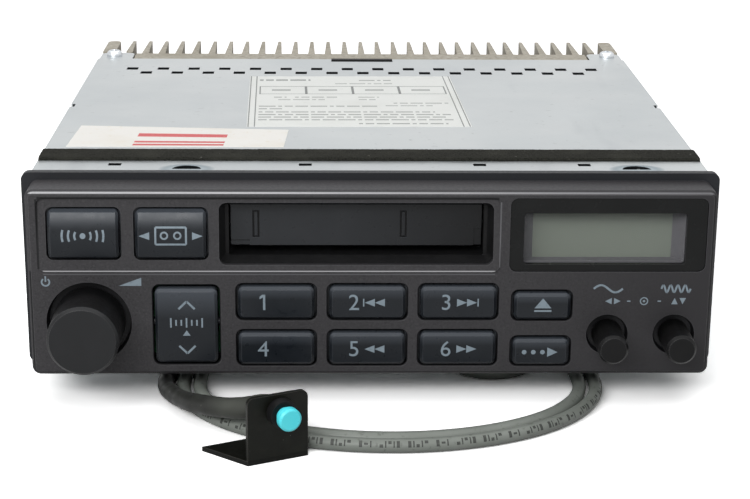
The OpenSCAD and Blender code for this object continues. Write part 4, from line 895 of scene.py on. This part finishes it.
POWER_X, TONE_Z, PULL_Z, PULL_X, PULL_SIGN = -84.2, -2.3, -5.7, 70.9, 1.7
face_ink("power_legend", arc(POWER_X, -0.5, 1.0, 0.42, 125, 415) + [bar(POWER_X, 0.35, 0.42, 1.5)])
face_ink("volume_legend", [[(-65.4, -1.5), (-59.6, -1.5), (-59.6, 0.7)]])
face_ink("bass_legend", wave(61.4, TONE_Z, 7.6, 2.0, 1, 0.55))
face_ink("treble_legend", wave(79.1, TONE_Z, 7.6, 2.0, 4, 0.5))
pull = [arrow(x, PULL_Z, PULL_SIGN, PULL_SIGN, way)
        for x, way in ((61.6, "l"), (63.9, "r"), (78.9, "u"), (81.0, "d"))]
pull += [bar(x, PULL_Z, 0.9, 0.32) for x in (66.9, 74.9)] + [disc(PULL_X, PULL_Z, 0.32)]
face_ink("pull_legend", pull + arc(PULL_X, PULL_Z, 0.95, 0.3, 0, 360))

# Painted shade: thin black sheets in the grooves round the two ribs of the door
GROOVE_X, GROOVE_Y, GROOVE_Z = (-30.1, 8.1), -6.7, (10.0, 17.2)
GROOVE_DX, GROOVE_W, GROOVE_END_W, GROOVE_END_H = 0.65, 0.5, 0.8, 0.4
groove_low, groove_high = GROOVE_Z
groove_mid, groove_h = (groove_low + groove_high) / 2, groove_high - groove_low
groove_shade = []
for x in GROOVE_X:
    groove_shade += [bar(x + dx, groove_mid, GROOVE_W, groove_h) for dx in (-GROOVE_DX, GROOVE_DX)]
    groove_shade += [bar(x, z, GROOVE_END_W, GROOVE_END_H)
                for z in (groove_low + GROOVE_END_H / 2, groove_high - GROOVE_END_H / 2)]
printed("door_groove_shade", groove_shade, flat(GROOVE_Y), "door", BLACK)

# Label and sticker on the cover
PAPER_T, PAPER_SINK = 0.06, 0.01
PAPER_INK = (-0.01, 0.015)  # under and upper side of its ink, from the paper's upper side
UNIT_SQUARE = ((0, 0), (1, 0), (1, 1), (0, 1))
LABEL = [(-34.9, 52.2), (30.2, 52.8), (28.0, 122.5), (-36.6, 121.6)]
STICKER = [(-83.5, 28.6), (-23.7, 28.5), (-22.7, 48.6), (-82.4, 53.3)]


def across(corners, u, v):
    """Point of a four-sided sheet, from 0 to 1 along its sides."""
    a, b, c, d = (Vector(p) for p in corners)
    return a * (1 - u) * (1 - v) + b * u * (1 - v) + c * u * v + d * (1 - u) * v


def paper(name, corners, mat, rough_edge, n=60):
    """Thin sheet with a slightly uneven outline, flat on the cover."""
    rim = []
    for (u0, v0), (u1, v1) in zip(UNIT_SQUARE, UNIT_SQUARE[1:] + UNIT_SQUARE[:1]):
        for i in range(n):
            p = across(corners, u0 + (u1 - u0) * i / n, v0 + (v1 - v0) * i / n)
            rag = Vector([noise.noise(Vector((p.x, p.y, seed))) for seed in (3, 8)])
            rim.append(p + rag * rough_edge)
    verts = [(p.x, p.y, z) for z in (TOP_Z - PAPER_SINK, TOP_Z + PAPER_T) for p in rim]
    obj = add_mesh(name, verts, skin(2, len(rim)), mat)
    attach(obj, "radio")
    return obj


def inked(name, corners, rects, mat):
    """Thin bars on a sheet, each given as u0, v0, u1, v1 from 0 to 1."""
    verts, faces = [], []
    for u0, v0, u1, v1 in rects:
        faces += skin(2, 4, len(verts))
        for z in PAPER_INK:
            for u, v in ((u0, v0), (u1, v0), (u1, v1), (u0, v1)):
                p = across(corners, u, v)
                verts.append((p.x, p.y, TOP_Z + PAPER_T + z))
    obj = add_mesh(name, verts, faces, mat)
    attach(obj, "radio")
    return obj


def frame_rects(u0, v0, u1, v1, t):
    """Four bars round a box."""
    return [(u0, v0, u1, v0 + t), (u0, v1 - t, u1, v1), (u0, v0, u0 + t, v1), (u1 - t, v0, u1, v1)]


label = paper("spec_label", LABEL, paper_look("label_paper", (240, 242, 239), (229, 231, 227)), 0.05)
RULE_U, RULE_W = (0.004, 0.032, 0.962, 0.99), 0.005
BOXES, BOX_U, BOX_W, BOX_V, BOX_LINE = 4, 0.05, 0.225, (0.62, 0.78), 0.006
rules = [(u, 0.0, u + RULE_W, 1.0) for u in RULE_U]
for i in range(BOXES):
    u = BOX_U + BOX_W * i
    rules += frame_rects(u, BOX_V[0], u + BOX_W, BOX_V[1], BOX_LINE)
inked("label_rules", LABEL, rules, DARK_INK)

# Grey bars for lines of print: low side, start, end, height
LINES = [
    (0.9, 0.05, 0.3, 0.03), (0.9, 0.54, 0.71, 0.016), (0.83, 0.42, 0.7, 0.012),
    (0.55, 0.12, 0.18, 0.014), (0.55, 0.22, 0.42, 0.014), (0.55, 0.52, 0.62, 0.012),
    (0.5, 0.14, 0.36, 0.012), (0.5, 0.52, 0.6, 0.012), (0.43, 0.68, 0.94, 0.014),
    (0.37, 0.05, 0.6, 0.016), (0.38, 0.64, 0.86, 0.012), (0.32, 0.05, 0.17, 0.016),
    (0.26, 0.05, 0.86, 0.016), (0.21, 0.05, 0.93, 0.016), (0.165, 0.05, 0.9, 0.016),
    (0.115, 0.05, 0.93, 0.016), (0.045, 0.5, 0.9, 0.016)]
WORD_W, WORD_STEP, WORD_GAP = 0.018, 0.02, 0.012
greeked = []
for row, (v, u, end, h) in enumerate(LINES):
    k = 0
    while u < end:
        w = WORD_W + WORD_STEP * ((row * 7 + k * 5) % 4)
        greeked.append((u, v, min(u + w, end), v + h))
        u += w + WORD_GAP
        k += 1
greeked += [(0.11 + BOX_W * i, 0.69, 0.2 + BOX_W * i, 0.715) for i in range(BOXES)]
inked("label_lines", LABEL, greeked, PALE_INK)

sticker_paper = paper_look("sticker_paper", (248, 246, 241), (238, 231, 217))
sticker = paper("cover_sticker", STICKER, sticker_paper, 0.12)
STRIPE_U, STRIPE_V = (0.3, 0.72), ((0.5, 0.66), (0.2, 0.28), (0.06, 0.14))
inked("sticker_stripes", STICKER, [(STRIPE_U[0], low, STRIPE_U[1], high) for low, high in STRIPE_V], RED_INK)

# Pins of the wiring socket
PIN_ROWS, PIN_COLS, PIN_DX, PIN_DZ, PIN_HALF = 2, 8, 4.2, 4.4, 0.45
SOCKET_X, SOCKET_Y, SOCKET_Z = -45.0, 152.0, -15.0
PIN_L, PIN_SINK, PIN_TIP = 6.0, 0.3, 1


def make_pins():
    verts, faces = [], []
    for col in range(PIN_COLS):
        for row in range(PIN_ROWS):
            x = SOCKET_X + (col - (PIN_COLS - 1) / 2) * PIN_DX
            z = SOCKET_Z + (row - (PIN_ROWS - 1) / 2) * PIN_DZ
            faces += skin(3, len(SQUARE), len(verts))
            for y, half in ((-PIN_SINK, PIN_HALF), (PIN_L - PIN_TIP, PIN_HALF), (PIN_L, PIN_HALF / 2)):
                verts += [(x + dx * half, SOCKET_Y + y, z + dz * half) for dx, dz in SQUARE]
    return add_mesh("socket_pins", verts, faces, BRASS)


pins = make_pins()
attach(pins, "radio")


# Floor and light
# The floor's shade as the camera sees it, as reflections show it, and as it lights the object
FLOOR_SEEN, FLOOR_GLOSS, FLOOR_BOUNCE = 1.9, 1.1, 0.35
FLOOR_HALF = 1100
WORLD_LIGHT = 0.12
LAMPS = [  # name, place in metres, target, width, height, power
    ("top", (0.0, -0.05, 1.3), (0, 0.05, 0.0), 2.4, 2.4, 15.4),
    ("front", (-0.48, -1.06, 0.73), (0, 0, 0), 1.3, 0.38, 13.4),
]


def seen_rays(tree):
    """1 for rays from the camera and from glossy or clear surfaces."""
    rays = tree.nodes.new("ShaderNodeLightPath")
    seen = rays.outputs["Is Camera Ray"]
    for kind in ("Is Glossy Ray", "Is Transmission Ray"):
        most = tree.nodes.new("ShaderNodeMath")
        most.operation = "MAXIMUM"
        tree.links.new(seen, most.inputs[0])
        tree.links.new(rays.outputs[kind], most.inputs[1])
        seen = most.outputs[0]
    return seen


def make_floor():
    """Plain white floor that keeps the object's shadow."""
    floor = Look("floor", (255, 255, 255), 1.0)
    diffuse = floor.node("ShaderNodeBsdfDiffuse")
    others = floor.band(seen_rays(floor.tree), 0, 1, FLOOR_BOUNCE, FLOOR_GLOSS)
    camera = floor.tree.nodes.new("ShaderNodeLightPath").outputs["Is Camera Ray"]
    shade = floor.maths("ShaderNodeMath", "MULTIPLY_ADD", camera, FLOOR_SEEN - FLOOR_GLOSS, others)[0]
    floor.feed(diffuse.inputs["Color"], shade)
    floor.feed(floor.tree.nodes["Material Output"].inputs["Surface"], diffuse.outputs[0])
    floor.tree.nodes.remove(floor.shader)
    obj = add_mesh("floor", [(x * FLOOR_HALF, y * FLOOR_HALF, GROUND_Z) for x, y in SQUARE], [(0, 1, 2, 3)],
                   floor.mat)


def make_lights():
    for name, at, target, width, height, power in LAMPS:
        lamp = bpy.data.lights.new(name, "AREA")
        lamp.shape = "RECTANGLE"
        lamp.size, lamp.size_y = width, height
        lamp.energy = power
        obj = bpy.data.objects.new(name, lamp)
        obj.location = at
        obj.rotation_euler = (Vector(target) - Vector(at)).to_track_quat("-Z", "Y").to_euler()
        bpy.context.scene.collection.objects.link(obj)


def make_world():
    """White behind the object, and a weak light on it."""
    world = bpy.data.worlds.new("studio")
    bpy.context.scene.world = world
    world.use_nodes = True
    tree = world.node_tree
    sky = tree.nodes["Background"]
    sky.inputs["Color"].default_value = (1, 1, 1, 1)
    level = tree.nodes.new("ShaderNodeMapRange")
    tree.links.new(seen_rays(tree), level.inputs["Value"])
    level.inputs["To Min"].default_value = WORLD_LIGHT
    level.inputs["To Max"].default_value = 1.0
    tree.links.new(level.outputs[0], sky.inputs["Strength"])


make_floor()
make_lights()
make_world()
bpy.context.scene.view_settings.view_transform = "Standard"
